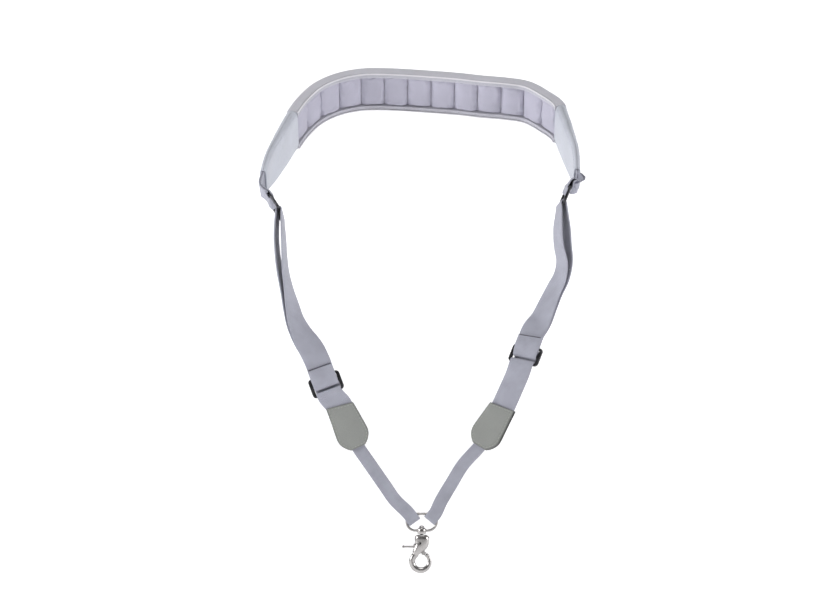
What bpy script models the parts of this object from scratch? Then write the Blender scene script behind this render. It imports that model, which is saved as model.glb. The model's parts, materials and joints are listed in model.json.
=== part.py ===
"""Saxophone neck strap: an air-cell neck pad, two adjustable webbing straps and a swivel trigger hook.

Metres, +Z up, +X to the wearer's left as seen from the front, -Y to the front. The strap is in its worn
shape, and the origin is where the middle of the pad's inner face rests against the back of the neck.
"""

import math

import bmesh
import bpy
import numpy as np

# Driving dimensions --------------------------------------------------------------------------------

GAP = 0.0003  # between neighbouring pieces

# Neck pad. Its section is in (out, up): out of the neck from the mid thickness, and up across the band.
PAD_TILT = math.radians(42)  # the band's upper edge leans towards the front by this much
PAD_HALF_THICKNESS = 0.0060
PAD_HALF_WIDTH = 0.0235
SHELL_WALL = 0.0018
CORE_IN = 0.0006
BACKING_IN = -0.0012
LIP_HALF_IN = 0.0176  # the rim round the cells runs from here ...
LIP_HALF_OUT = 0.0214  # ... to here, on both sides of the middle
PIPING_RADIUS = 0.00075
PIPING_UP = 0.0225
CELL_COUNT = 13
CELL_HALF_HEIGHT = 0.01725
CELL_EDGE_OUT = -0.0034
CELL_CROWN_OUT = -0.0064
PAD_START = 0.0895  # length along the centre line from the left tip to the first cell
PAD_LENGTH = 0.3110
END_RIM = 0.0040  # of shell beyond the last cells

# Mid line of pad and end tabs, left tip to right tip, as (across, forward and down) in the tilted plane.
PAD_LINE = (
    (-0.1505, 0.1400), (-0.1462, 0.1230), (-0.1400, 0.1040), (-0.1330, 0.0830), (-0.1255, 0.0605),
    (-0.1160, 0.0375), (-0.1015, 0.0150), (-0.0819, 0.0000), (-0.0582, -0.0080), (-0.0326, -0.0088),
    (0.0000, -0.0060), (0.0387, -0.0012), (0.0640, 0.0034), (0.0900, 0.0072), (0.1110, 0.0133),
    (0.1286, 0.0293), (0.1405, 0.0445), (0.1455, 0.0660), (0.1497, 0.0890), (0.1529, 0.1060),
    (0.1545, 0.1210), (0.1548, 0.1370),
)

# End tabs: half width and half thickness from the pad (0) to the tip (1)
TAB_HALF_WIDTH = ((0.0, 0.0235), (0.3, 0.0235), (0.55, 0.0228), (0.75, 0.0211), (0.9, 0.0175), (1.0, 0.0138))
TAB_HALF_THICKNESS = ((0.0, 0.0060), (0.3, 0.0055), (0.6, 0.0044), (0.85, 0.0036), (1.0, 0.0032))
TAB_CHANNEL_HALF = 0.01235
TAB_CHANNEL_OUT = 0.00175

# Webbing
WEB_WIDTH = 0.0240
WEB_THICK = 0.0013
NARROW_WIDTH = 0.0128
NARROW_THICK = 0.0011
LAYER_PITCH = WEB_THICK + GAP  # between the middles of two layers that lie together

# Rectangular rings at the pad's ends
RING_WIRE = 0.0015
RING_INSIDE = 0.0258
RING_PITCH = 0.0165  # between the middles of its two long bars
RING_CORNER = 0.0030

# Three-bar sliders: bars at -BAR_PITCH, 0 and +BAR_PITCH along the strap
BAR_HALF = 0.0013
BAR_PITCH = 0.0084
SLIDER_SIDE = 0.0034
SLIDER_INSIDE = 0.0250
BAR_TURN = BAR_HALF + 0.0005 + WEB_THICK / 2  # radius of the webbing's middle round a bar
TAIL_END = 0.0215
FRONT_SPREAD = 0.0140  # above the tail's end the front strand moves out over this length
PAIR_START = 0.0140  # above this the two strands follow the strap's free line
WEB_PLANE_Y = -0.1300
SLIDER_Y = WEB_PLANE_Y + BAR_TURN

# Stitched leather tabs, half widths down their length
LEATHER_THICK = 0.0015
LEATHER_IN = 0.00155
LEATHER_LENGTH = 0.0443
LEATHER_SLANT = 0.0022  # the top edge rises this much at its outer corner and falls at its inner one
LEATHER_OUTLINE = ((0.0132, 0.0000), (0.0141, 0.0100), (0.0152, 0.0220), (0.0158, 0.0305), (0.0146, 0.0360),
                   (0.0112, 0.0410), (0.0074, 0.0443))

# Wire eye and swivel
EYE_X = 0.0036
EYE_WIRE = 0.0013
EYE_HALF_LENGTH = 0.0144  # to the middle of the wire
EYE_HALF_HEIGHT = 0.0080
EYE_Z = -0.4238
BOSS_RADIUS = 0.0042
BOSS_TOP_Z = -0.4290
BOSS_LOW_Z = -0.4352
POST_RADIUS = 0.0014
POST_HOLE = 0.0015
POST_HEAD_RADIUS = 0.0026
POST_HEAD = 0.0018
POST_LOW_Z = -0.4388

# Hook and trigger, in the upright plane of the hook
HOOK_X = 0.0028
HOOK_Z = -0.4618
HOOK_RADIUS = 0.0084
ARM_RADII = ((0.0, 0.0030), (0.47, 0.0029), (0.53, 0.0029), (0.85, 0.0018), (1.0, 0.0017))  # from body to tip
GATE_INSIDE = 0.0069  # radii of the gate's end about the hook's centre
GATE_OUTSIDE = 0.0103
SLOT_HALF = 0.0018
SLOT_TOP_Z = -0.4396
SLOT_FLOOR_Z = -0.4497
SLOT_LEFT_X = -0.0012
MOUTH_Z = -0.4525
THROAT_Z = -0.4560
THROAT_X = 0.0060
RIVET_X = 0.0020
RIVET_Z = -0.4439
RIVET_RADIUS = 0.00105
RIVET_HOLE = 0.00115
RIVET_HALF_LENGTH = 0.0039
TRIGGER_HALF = 0.0015
LEVER_Z = -0.4474
LEVER_END_X = -0.0152
LEVER_RADIUS = 0.00105
SPRING_X = -0.0023
SPRING_COIL = 0.00070
SPRING_WIRE = 0.00022
SPRING_TURNS = 4

FRONT = np.array((0.0, -1.0, 0.0))
BAND_UP = np.array((0.0, -math.sin(PAD_TILT), math.cos(PAD_TILT)))
BAND_FORWARD = np.array((0.0, -math.cos(PAD_TILT), -math.sin(PAD_TILT)))
ORIGIN = np.zeros(3)

# Each side: the direction that the slider and the leather tab face; slider middle and the strap's direction up
# through it; the webbing below it down to the top of the leather tab; the tab's direction downwards;
# the side that the front strand faces at the ring, and its turn towards the front above the slider; the
# free line of the doubled strap from slider to ring, as (x, y, z, turn towards the front in degrees, half the
# distance between its strands); the ring's direction from bar to bar, as (x, z); the outermost point of the
# pad's webbing loop; the narrow webbing from tab to eye, as (x, z); and where it folds round the eye's wire.
SIDES = {
    "left": {
        "front": (0.0, -1.0, 0.0),
        "slider": (-0.0886, SLIDER_Y, -0.2910),
        "up": (-0.350, 0.0, 0.937),
        "web_below": ((-0.0808, -0.1300, -0.3058),),
        "tab_top": (-0.0756, -0.3114),
        "tab_down": (0.410, 0.0, -0.912),
        "facing": (1.0, 0.0, 0.0),
        "turn": 90,
        "strap": (
            (-0.1026, -0.1318, -0.2570, 68, 0.00145), (-0.1116, -0.1318, -0.2435, 48, 0.0012),
            (-0.1182, -0.1315, -0.2300, 37, 0.0012), (-0.1224, -0.1310, -0.2150, 28, 0.0015),
            (-0.1266, -0.1305, -0.1985, 17, 0.0020), (-0.1302, -0.1300, -0.1820, 11, 0.0027),
            (-0.1321, -0.1294, -0.1660, 8, 0.0033), (-0.1330, -0.1284, -0.1510, 7, 0.0035),
            (-0.1334, -0.1258, -0.1385, 6, 0.0031), (-0.1334, -0.1205, -0.1265, 4, 0.00245),
        ),
        "ring_down": (0.560, -0.828),
        "loop_bulge": (-0.1522, -0.1105, -0.1020),
        "narrow": ((-0.0452, -0.3695), (-0.0320, -0.3885), (-0.0224, -0.4022)),
        "outer": -1,
        "fold": 0.0056,
    },
    "right": {
        "front": (-0.45, -0.89, 0.0),
        "slider": (0.1040, -0.1248, -0.2628),
        "up": (0.360, 0.340, 0.870),
        "web_below": ((0.0954, -0.1318, -0.2825), (0.0884, -0.1315, -0.2985)),
        "tab_top": (0.0820, -0.3128),
        "tab_down": (-0.511, 0.0, -0.859),
        "facing": (-1.0, 0.0, 0.0),
        "turn": 62,
        "strap": (
            (0.1196, -0.1170, -0.2285, 48, 0.0013), (0.1258, -0.1165, -0.2150, 39, 0.0012),
            (0.1322, -0.1170, -0.2010, 31, 0.0013), (0.1392, -0.1178, -0.1870, 26, 0.0018),
            (0.1420, -0.1186, -0.1720, 22, 0.0028), (0.1402, -0.1194, -0.1560, 18, 0.0042),
            (0.1394, -0.1200, -0.1400, 16, 0.0042), (0.1392, -0.1196, -0.1280, 12, 0.0032),
            (0.1390, -0.1178, -0.1175, 8, 0.00245),
        ),
        "ring_down": (-0.398, -0.917),
        "loop_bulge": (0.1545, -0.1088, -0.0972),
        "narrow": ((0.0435, -0.3685), (0.0326, -0.3862), (0.0226, -0.4030)),
        "outer": 1,
        "fold": 0.0040,
    },
}
EYE_APPROACH = (0.61, -0.792)  # of the narrow webbing where it crosses the eye's wire: inwards and down


# Curves and frames ---------------------------------------------------------------------------------


def unit(vectors):
    """The vectors at length one."""
    vectors = np.asarray(vectors, float)
    return vectors / np.linalg.norm(vectors, axis=-1, keepdims=True)


def square(vectors, along):
    """The vectors with their part along the given directions taken out, at length one."""
    vectors = np.asarray(vectors, float)
    return unit(vectors - np.sum(vectors * along, axis=-1, keepdims=True) * along)


def curve_through(knots, step, dims=3):
    """A smooth curve through the knots (Catmull-Rom), in even steps of its first dims columns."""
    knots = np.asarray(knots, float)
    ends = np.vstack((2 * knots[0] - knots[1], knots, 2 * knots[-1] - knots[-2]))
    fine = []
    for before, start, end, after in zip(ends, ends[1:], ends[2:], ends[3:]):
        for part in np.linspace(0, 1, 24, endpoint=False):
            fine.append(0.5 * (2 * start + (end - before) * part
                               + (2 * before - 5 * start + 4 * end - after) * part**2
                               + (3 * start - before - 3 * end + after) * part**3))
    fine.append(knots[-1])
    fine = np.array(fine)
    reach = distances(fine[:, :dims])
    count = max(2, round(reach[-1] / step)) + 1
    wanted = np.linspace(0, reach[-1], count)
    return np.stack([np.interp(wanted, reach, column) for column in fine.T], axis=1)


def distances(path):
    """Length along the path to each of its points."""
    return np.concatenate(((0.0,), np.cumsum(np.linalg.norm(np.diff(path, axis=0), axis=1))))


def tangents(path):
    """Direction of the path at each of its points."""
    return unit(np.gradient(np.asarray(path, float), axis=0))


def eased(table, place):
    """A value from a table of (place, value), eased smoothly between its rows."""
    places, values = np.array(table).T
    return float(np.interp(place, places, values))


PAD_CURVE = curve_through(PAD_LINE, 0.001, dims=2)
PAD_REACH = distances(PAD_CURVE)
PAD_HEADING = tangents(PAD_CURVE)
PAD_END = PAD_START + PAD_LENGTH
TIP_END = PAD_REACH[-1]


def side_front(side, along):
    """The direction that a side's slider or leather tab faces, square to its own direction."""
    return square(SIDES[side]["front"], unit(along))


def pad_frame(reach):
    """Point of the pad's mid line and its outward direction, at a length from the left tip."""
    across, forward = (np.interp(reach, PAD_REACH, column) for column in PAD_CURVE.T)
    heading = [np.interp(reach, PAD_REACH, column) for column in PAD_HEADING.T]
    point = np.array((across, 0.0, 0.0)) + forward * BAND_FORWARD
    outward = np.array((heading[1], 0.0, 0.0)) - heading[0] * BAND_FORWARD
    return point, unit(outward)


def pad_ring(reach, section):
    """A section's (out, up) points, placed on the pad at a length from the left tip."""
    point, outward = pad_frame(reach)
    return [point + out * outward + up * BAND_UP for out, up in section]


# Mesh building -------------------------------------------------------------------------------------


def material(name, colour, roughness, metallic=0.0):
    """A Principled material."""
    made = bpy.data.materials.new(name)
    made.use_nodes = True
    shader = made.node_tree.nodes["Principled BSDF"]
    shader.inputs["Base Color"].default_value = (*colour, 1.0)
    shader.inputs["Roughness"].default_value = roughness
    shader.inputs["Metallic"].default_value = metallic
    return made


def add_piece(name, points, faces, finish, origin=ORIGIN):
    """An object from world points, with its own origin."""
    mesh = bpy.data.meshes.new(name)
    shifted = [tuple(np.asarray(point, float) - origin) for point in points]
    mesh.from_pydata(shifted, [], faces)
    work = bmesh.new()
    work.from_mesh(mesh)
    bmesh.ops.recalc_face_normals(work, faces=work.faces)
    work.to_mesh(mesh)
    work.free()
    mesh.shade_smooth()
    mesh.set_sharp_from_angle(angle=math.radians(35))
    mesh.materials.append(finish)
    piece = bpy.data.objects.new(name, mesh)
    piece.location = origin
    bpy.context.scene.collection.objects.link(piece)
    return piece


def loft(name, rings, finish, origin=ORIGIN, closed=False):
    """A skin over rings of points, with flat ends, or joined end to start if closed."""
    size = len(rings[0])
    points = [point for ring in rings for point in ring]
    faces = []
    last = len(rings) if closed else len(rings) - 1
    for row in range(last):
        here = row * size
        there = (row + 1) % len(rings) * size
        for side in range(size):
            after = (side + 1) % size
            faces.append((here + side, here + after, there + after, there + side))
    if not closed:
        faces.append(tuple(range(size)))
        faces.append(tuple(range(len(points) - size, len(points))))
    return add_piece(name, points, faces, finish, origin)


def ribbon(name, path, outward, width, thickness, finish):
    """A flat strip along a path, with its faces square to the outward directions."""
    along = tangents(path)
    face = square(outward, along)
    across = np.cross(face, along)
    rings = []
    for point, out, side in zip(path, face * thickness / 2, across * width / 2):
        rings.append([point - out - side, point - out + side, point + out + side, point + out - side])
    return loft(name, rings, finish)


def tube(name, path, radius, sides, finish, up, origin=ORIGIN, closed=False):
    """A round rod along a path; up is any direction that the path never follows."""
    path = np.asarray(path, float)
    if closed:
        along = unit(np.roll(path, -1, axis=0) - np.roll(path, 1, axis=0))
    else:
        along = tangents(path)
    first = square(np.broadcast_to(up, path.shape), along)
    second = np.cross(along, first)
    rings = []
    for point, one, two in zip(path, first, second):
        turns = [2 * math.pi * side / sides for side in range(sides)]
        rings.append([point + radius * (math.cos(a) * one + math.sin(a) * two) for a in turns])
    return loft(name, rings, finish, origin, closed)


def upright_rod(name, x, y, levels, sides, finish, origin=ORIGIN):
    """A turned piece on a vertical axis, from its (height, radius) levels."""
    rings = []
    for height, radius in levels:
        turns = [2 * math.pi * side / sides for side in range(sides)]
        rings.append([np.array((x + radius * math.cos(a), y + radius * math.sin(a), height)) for a in turns])
    return loft(name, rings, finish, origin)


def helper(piece):
    """Marks a piece as a tool for Booleans, which is not part of the object."""
    piece.hide_render = True
    piece.display_type = "WIRE"
    return piece


def combine(piece, tool, operation):
    """A Boolean between the piece and a tool."""
    change = piece.modifiers.new(operation.lower(), "BOOLEAN")
    change.operation = operation
    change.object = helper(tool)
    change.solver = "EXACT"


def upright_plate(name, outline, half, finish, origin=ORIGIN):
    """A flat plate in the hook's upright plane, from its (x, z) outline."""
    rings = [[np.array((x, WEB_PLANE_Y + depth, z)) for x, z in outline] for depth in (-half, half)]
    return loft(name, rings, finish, origin)


# Neck pad ------------------------------------------------------------------------------------------


def sweep_on_pad(name, section, start, end, finish, step=0.008):
    """A constant section along the pad."""
    stations = np.linspace(start, end, max(2, round((end - start) / step)) + 1)
    return loft(name, [pad_ring(reach, section) for reach in stations], finish)


def rectangle(out_low, out_high, up_low, up_high):
    """Corners of a rectangle in a section."""
    return [(out_low, up_low), (out_high, up_low), (out_high, up_high), (out_low, up_high)]


def make_shell(finish):
    """The C-shaped outer cover of the pad, with rounded outer corners."""
    outer, inner = PAD_HALF_THICKNESS, PAD_HALF_THICKNESS - SHELL_WALL
    high, low = PAD_HALF_WIDTH, PAD_HALF_WIDTH - SHELL_WALL
    mouth = -outer + PIPING_RADIUS + GAP
    half = [(outer, 0.0), (outer, high - 0.0034), (outer - 0.0009, high - 0.0012), (outer - 0.0034, high),
            (mouth, high), (mouth, low), (inner, low)]
    mirrored = [(out, -up) for out, up in reversed(half[1:])]
    section = half + mirrored
    sweep_on_pad("pad_outer_shell", section, PAD_START - END_RIM, PAD_END + END_RIM, finish)


def make_pad_filling(core_finish, backing_finish):
    """The foam core and the sheet that carries the cells."""
    reach = LIP_HALF_OUT
    core_top = PAD_HALF_THICKNESS - SHELL_WALL - GAP
    core = rectangle(CORE_IN, core_top, -reach, reach)
    sweep_on_pad("pad_foam_core", core, PAD_START - END_RIM, PAD_END + END_RIM, core_finish)
    backing = rectangle(BACKING_IN, CORE_IN - GAP, -reach, reach)
    sweep_on_pad("pad_cell_backing", backing, PAD_START - END_RIM, PAD_END + END_RIM, backing_finish)


def make_rim(lip_finish, piping_finish):
    """The raised rim on both sides of the cells, and the piping cord beside it."""
    for side, name in ((1, "upper"), (-1, "lower")):
        top = -PAD_HALF_THICKNESS
        lip = [(BACKING_IN - GAP, LIP_HALF_OUT), (top, LIP_HALF_OUT), (top, LIP_HALF_IN + 0.0010),
               (top + 0.0010, LIP_HALF_IN), (BACKING_IN - GAP, LIP_HALF_IN)]
        lip = [(out, side * up) for out, up in lip]
        sweep_on_pad(f"pad_lip_{name}", lip, PAD_START - END_RIM, PAD_END + END_RIM, lip_finish)
        turns = [math.radians(angle) for angle in range(0, 360, 60)]
        cord = [(top + PIPING_RADIUS * math.cos(a), side * PIPING_UP + PIPING_RADIUS * math.sin(a)) for a in turns]
        sweep_on_pad(f"pad_piping_{name}", cord, PAD_START - END_RIM, PAD_END + END_RIM, piping_finish)


def make_cell(index, finish):
    """One air cell: a flat base and a pillowed face towards the neck."""
    pitch = PAD_LENGTH / CELL_COUNT
    start = PAD_START + index * pitch + GAP / 2
    end = start + pitch - GAP
    base = BACKING_IN - GAP
    places = np.array((-1.0, -0.88, -0.55, 0.0, 0.55, 0.88, 1.0))
    rings = []
    for along in places:
        reach = (start + end) / 2 + along * (end - start) / 2
        section = [(base, CELL_HALF_HEIGHT), (base, -CELL_HALF_HEIGHT)]
        for up in places:
            swell = math.sqrt((1 - along**4) * (1 - up**4))
            out = CELL_EDGE_OUT + (CELL_CROWN_OUT - CELL_EDGE_OUT) * swell
            section.append((out, up * CELL_HALF_HEIGHT))
        rings.append(pad_ring(reach, section))
    loft(f"air_cell_{index + 1:02d}", rings, finish)


# End tabs and webbing loops ------------------------------------------------------------------------


def make_end_tab(side, finish):
    """The two sewn covers of the tapered tab at one end of the pad, with a channel between for the webbing."""
    if side == "left":
        root, tip = PAD_START - END_RIM - GAP, 0.0
    else:
        root, tip = PAD_END + END_RIM + GAP, TIP_END
    for layer, sign in (("outer", 1), ("inner", -1)):
        rings = []
        for place in np.linspace(0, 1, 16):
            half = eased(TAB_HALF_WIDTH, place)
            thick = eased(TAB_HALF_THICKNESS, place)
            rim = GAP / 2
            section = [(rim, half), (0.6 * thick, half), (thick, half - 0.45 * thick)]
            section += [(out, -up) for out, up in reversed(section)]
            section += [(rim, -TAB_CHANNEL_HALF - 0.0003), (TAB_CHANNEL_OUT, -TAB_CHANNEL_HALF),
                        (TAB_CHANNEL_OUT, TAB_CHANNEL_HALF), (rim, TAB_CHANNEL_HALF + 0.0003)]
            section = [(sign * out, up) for out, up in section]
            rings.append(pad_ring(root + (tip - root) * place, section))
        loft(f"end_tab_{layer}_{side}", rings, finish)


def make_pad_loop(side, ring, finish):
    """The doubled webbing from inside an end tab, round the ring's upper bar and back."""
    if side == "left":
        reaches = np.linspace(PAD_START - END_RIM - 0.008, 0.0, 14)
    else:
        reaches = np.linspace(PAD_END + END_RIM + 0.008, TIP_END, 14)
    inside = np.array([pad_frame(reach)[0] for reach in reaches])
    approach = [ring["upper"] - before * ring["down"] for before in (0.0080, 0.0040, 0.0)]
    outside = curve_through((*inside[-3:], SIDES[side]["loop_bulge"], *approach), 0.002)
    reach_in_tab = np.linalg.norm(inside[-1] - inside[-3])
    outside = outside[distances(outside) > reach_in_tab + 0.001]
    middle = np.vstack((inside, outside))
    along = tangents(middle)
    left_over = distances(middle)[-1] - distances(middle)
    free = np.clip((distances(middle) - distances(inside)[-1]) / 0.014, 0, 1)
    bar = ring["bar"] * np.sign(np.dot(ring["bar"], BAND_UP))
    across = square(BAND_UP + free[:, None] * (bar - BAND_UP), along)
    out = np.cross(across, along)
    out *= np.sign(np.dot(out[0], pad_frame(reaches[0])[1]))
    turn = RING_WIRE + GAP + WEB_THICK / 2
    to_ring = np.clip((0.012 - left_over) / 0.010, 0, 1)
    offset = (LAYER_PITCH / 2 + (turn - LAYER_PITCH / 2) * to_ring**2 * (3 - 2 * to_ring))[:, None]
    path = list(middle + offset * out)
    face = list(out)
    for angle in np.linspace(0, math.pi, 9)[1:-1]:
        spoke = math.cos(angle) * out[-1] + math.sin(angle) * along[-1]
        path.append(middle[-1] + turn * spoke)
        face.append(spoke)
    path += list((middle - offset * out)[::-1])
    face += list(-out[::-1])
    ribbon(f"pad_webbing_loop_{side}", np.array(path), np.array(face), WEB_WIDTH, WEB_THICK, finish)


# Straps --------------------------------------------------------------------------------------------


def strap_line(side):
    """The middle line of the doubled strap above the slider: points, facing directions and half gaps."""
    data = SIDES[side]
    slider = np.array(data["slider"])
    up = unit(data["up"])
    middle = slider + (BAR_TURN + LAYER_PITCH) * side_front(side, up)
    knots = [(*(middle + (PAIR_START + reach) * up), data["turn"], LAYER_PITCH) for reach in (0.0, 0.010)]
    curve = curve_through(knots + list(data["strap"]), 0.004)
    points, turns, half_gaps = curve[:, :3], np.radians(curve[:, 3]), curve[:, 4]
    facing = np.cos(turns)[:, None] * np.array(data["facing"]) + np.sin(turns)[:, None] * FRONT
    facing[:2] = side_front(side, up)
    return points, square(facing, tangents(points)), half_gaps


def ring_frame(side):
    """Where a rectangular ring sits: its two bars' middles, their direction, and the way down the ring."""
    points, facing, _ = strap_line(side)
    bar = np.cross(facing[-1], tangents(points)[-1])
    across, down = SIDES[side]["ring_down"]
    down = np.array((across, -(across * bar[0] + down * bar[2]) / bar[1], down))
    down = unit(down)
    return {"lower": points[-1], "upper": points[-1] - RING_PITCH * down, "bar": bar, "down": down}


def bar_arc(middle, radius, start, end, count=7):
    """Points round a slider bar in (up the strap, to the front), angles in degrees from up to front."""
    turns = np.radians(np.linspace(start, end, count))
    return [(middle + radius * math.cos(a), radius * math.sin(a)) for a in turns]


def strap_path(side):
    """The whole length of one strap's webbing: its points and the directions its outside faces."""
    data = SIDES[side]
    slider = np.array(data["slider"])
    up = unit(data["up"])
    front = side_front(side, up)
    points, facing, half_gaps = strap_line(side)
    behind = BAR_TURN + LAYER_PITCH
    dive = math.degrees(math.asin((BAR_TURN + behind) / BAR_PITCH))
    lean = math.degrees(math.asin(2 * LAYER_PITCH / BAR_PITCH))
    rising = [(-BAR_PITCH - 0.002, BAR_TURN)] + bar_arc(-BAR_PITCH, BAR_TURN, 90, 90 - dive)
    rising += bar_arc(0.0, behind, 270 - dive, 270 + dive, 9)
    rising += bar_arc(BAR_PITCH, BAR_TURN, 90 + dive, 90)
    tail_up = bar_arc(BAR_PITCH, BAR_TURN + 2 * LAYER_PITCH, 90, 90 + lean, 4)
    tail_up += bar_arc(0.0, BAR_TURN, 90 + lean, 270 + dive, 13)
    tail_up += bar_arc(BAR_PITCH, behind, 90 + dive, 90)

    def placed(local):
        local = np.array(local)
        heading = tangents(local)
        where = slider + local[:, :1] * up + local[:, 1:] * front
        return where, heading[:, 1:] * up - heading[:, :1] * front

    in_slider, slider_face = placed(rising)
    down = np.array(data["tab_down"])
    tab_top = np.array((data["tab_top"][0], WEB_PLANE_Y, data["tab_top"][1]))
    knots = [tab_top + reach * down for reach in (0.018, 0.012, 0.006, 0.0)]
    knots += [*data["web_below"][::-1], in_slider[0], in_slider[0] + 0.006 * up]
    path = curve_through(knots, 0.004)
    path = path[(in_slider[0] - path) @ up > 0.0015]
    share = np.linspace(0, 1, len(path))[:, None]
    face = -(1 - share) * side_front(side, down) - share * front
    climb = distances(points) + PAIR_START - TAIL_END
    spread = half_gaps * np.clip(climb / FRONT_SPREAD, 0, 1)
    back, fore = points - half_gaps[:, None] * facing, points + spread[:, None] * facing
    along = tangents(points)[-1]
    turn = []
    for angle in np.linspace(0, math.pi, 9)[1:-1]:
        turn.append(-math.cos(angle) * facing[-1] + math.sin(angle) * along)
    turn = np.array(turn)
    round_ring = points[-1] + half_gaps[-1] * turn
    low_path, low_face = placed(tail_up[::-1])
    tail = climb < 0
    on_top = points[tail] + LAYER_PITCH * facing[tail]
    path = np.vstack((path, in_slider, back, round_ring, fore[::-1], low_path, on_top))
    face = np.vstack((face, slider_face, -facing, turn, facing[::-1], low_face, -facing[tail]))
    return path, face


def make_ring(side, ring, finish):
    """One rectangular ring of round wire with rounded corners."""
    half = (RING_INSIDE / 2 + RING_WIRE, RING_PITCH / 2)
    middle = (ring["upper"] + ring["lower"]) / 2
    path = []
    for across, down, start in ((1, 1, 0), (-1, 1, 90), (-1, -1, 180), (1, -1, 270)):
        corner = np.array((across * (half[0] - RING_CORNER), down * (half[1] - RING_CORNER)))
        for angle in np.radians(np.linspace(start, start + 90, 4)):
            one, two = corner + RING_CORNER * np.array((math.cos(angle), math.sin(angle)))
            path.append(middle + one * ring["bar"] + two * ring["down"])
    normal = np.cross(ring["bar"], ring["down"])
    tube(f"pad_ring_{side}", path, RING_WIRE, 10, finish, normal, ring["upper"], closed=True)


def make_slider(side, finish):
    """One three-bar slider: a plate with two slots, its edges rounded."""
    data = SIDES[side]
    middle = np.array(data["slider"])
    up = unit(data["up"])
    front = side_front(side, up)
    across = np.cross(up, front)
    columns = (-SLIDER_INSIDE / 2 - SLIDER_SIDE, -SLIDER_INSIDE / 2, SLIDER_INSIDE / 2, SLIDER_INSIDE / 2 + SLIDER_SIDE)
    rows = [bar * BAR_PITCH + edge * BAR_HALF for bar in (-1, 0, 1) for edge in (-1, 1)]
    points = []
    for depth in (-BAR_HALF, BAR_HALF):
        for row in rows:
            points += [middle + row * up + column * across + depth * front for column in columns]
    layer = len(rows) * len(columns)
    solid_cells = {(row, column) for row in range(5) for column in range(3)} - {(1, 1), (3, 1)}
    faces = []
    for row, column in sorted(solid_cells):
        first = row * 4 + column
        ring = (first, first + 1, first + 5, first + 4)
        faces.append(ring)
        faces.append(tuple(corner + layer for corner in ring))
        for step, (one, two) in {(-1, 0): (0, 1), (0, 1): (1, 2), (1, 0): (2, 3), (0, -1): (3, 0)}.items():
            if (row + step[0], column + step[1]) not in solid_cells:
                faces.append((ring[one], ring[two], ring[two] + layer, ring[one] + layer))
    piece = add_piece(f"slider_{side}", points, faces, finish, middle)
    rounding = piece.modifiers.new("rounded edges", "BEVEL")
    rounding.width = 0.0006
    rounding.segments = 2
    rounding.limit_method = "ANGLE"
    rounding.angle_limit = math.radians(40)


def leather_outline():
    """The shield outline of a leather tab as (outwards, down), with its slanted top edge."""
    outer = curve_through(LEATHER_OUTLINE, 0.0035, dims=2)
    outline = np.vstack((outer, outer[::-1] * (-1, 1)))
    height = 1 - np.clip(outline[:, 1] / 0.010, 0, 1)
    outline[:, 1] -= LEATHER_SLANT * height * np.sign(outline[:, 0])
    return outline


def make_leather_tab(side, finish):
    """The front and back leather of one stitched tab."""
    data = SIDES[side]
    down = unit(data["tab_down"])
    front = side_front(side, down)
    outwards = data["outer"] * np.cross(front, down)
    top = np.array((data["tab_top"][0], WEB_PLANE_Y, data["tab_top"][1]))
    outline = [top + one * outwards + two * down for one, two in leather_outline()]
    for layer, near in (("front", LEATHER_IN), ("back", -LEATHER_IN - LEATHER_THICK)):
        rings = [[point + depth * front for point in outline] for depth in (near, near + LEATHER_THICK)]
        loft(f"leather_tab_{layer}_{side}", rings, finish)


def make_narrow_webbing(side, finish):
    """The doubled narrow webbing from a leather tab, round the wire eye's upper corner and back."""
    data = SIDES[side]
    down = unit(data["tab_down"])[[0, 2]]
    tab_end = np.array(data["tab_top"]) + LEATHER_LENGTH * down
    corner = np.array((EYE_X + data["outer"] * (EYE_HALF_LENGTH - EYE_HALF_HEIGHT), EYE_Z))
    inward = np.array((-data["outer"] * EYE_APPROACH[0], EYE_APPROACH[1]))
    crossing = corner - EYE_HALF_HEIGHT * inward
    fold = crossing + data["fold"] * inward
    knots = [tab_end - 0.018 * down, tab_end - 0.008 * down, tab_end, *map(np.array, data["narrow"]),
             crossing - 0.0040 * inward, fold]
    flat = curve_through(knots, 0.004, dims=2)
    middle = np.stack((flat[:, 0], np.full(len(flat), WEB_PLANE_Y), flat[:, 1]), axis=1)
    turn = EYE_WIRE + GAP + NARROW_THICK / 2
    resting = (NARROW_THICK + GAP) / 2
    left_over = distances(middle)[-1] - distances(middle)
    open_up = np.clip((0.022 - left_over) / 0.010, 0, 1)
    offset = (resting + (turn - resting) * open_up**2 * (3 - 2 * open_up))[:, None]
    along = tangents(middle)
    turned = np.clip((left_over - 0.016) / 0.030, 0, 1)[:, None]
    facing = square(FRONT + turned * (side_front(side, data["tab_down"]) - FRONT), along)
    path = list(middle + offset * facing)
    face = list(facing)
    for angle in np.linspace(0, math.pi, 9)[1:-1]:
        spoke = math.cos(angle) * FRONT + math.sin(angle) * along[-1]
        path.append(middle[-1] + turn * spoke)
        face.append(spoke)
    path += list((middle - offset * facing)[::-1])
    face += list(-facing[::-1])
    ribbon(f"narrow_webbing_{side}", np.array(path), np.array(face), NARROW_WIDTH, NARROW_THICK, finish)


# Eye, swivel, hook and trigger ---------------------------------------------------------------------


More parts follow.
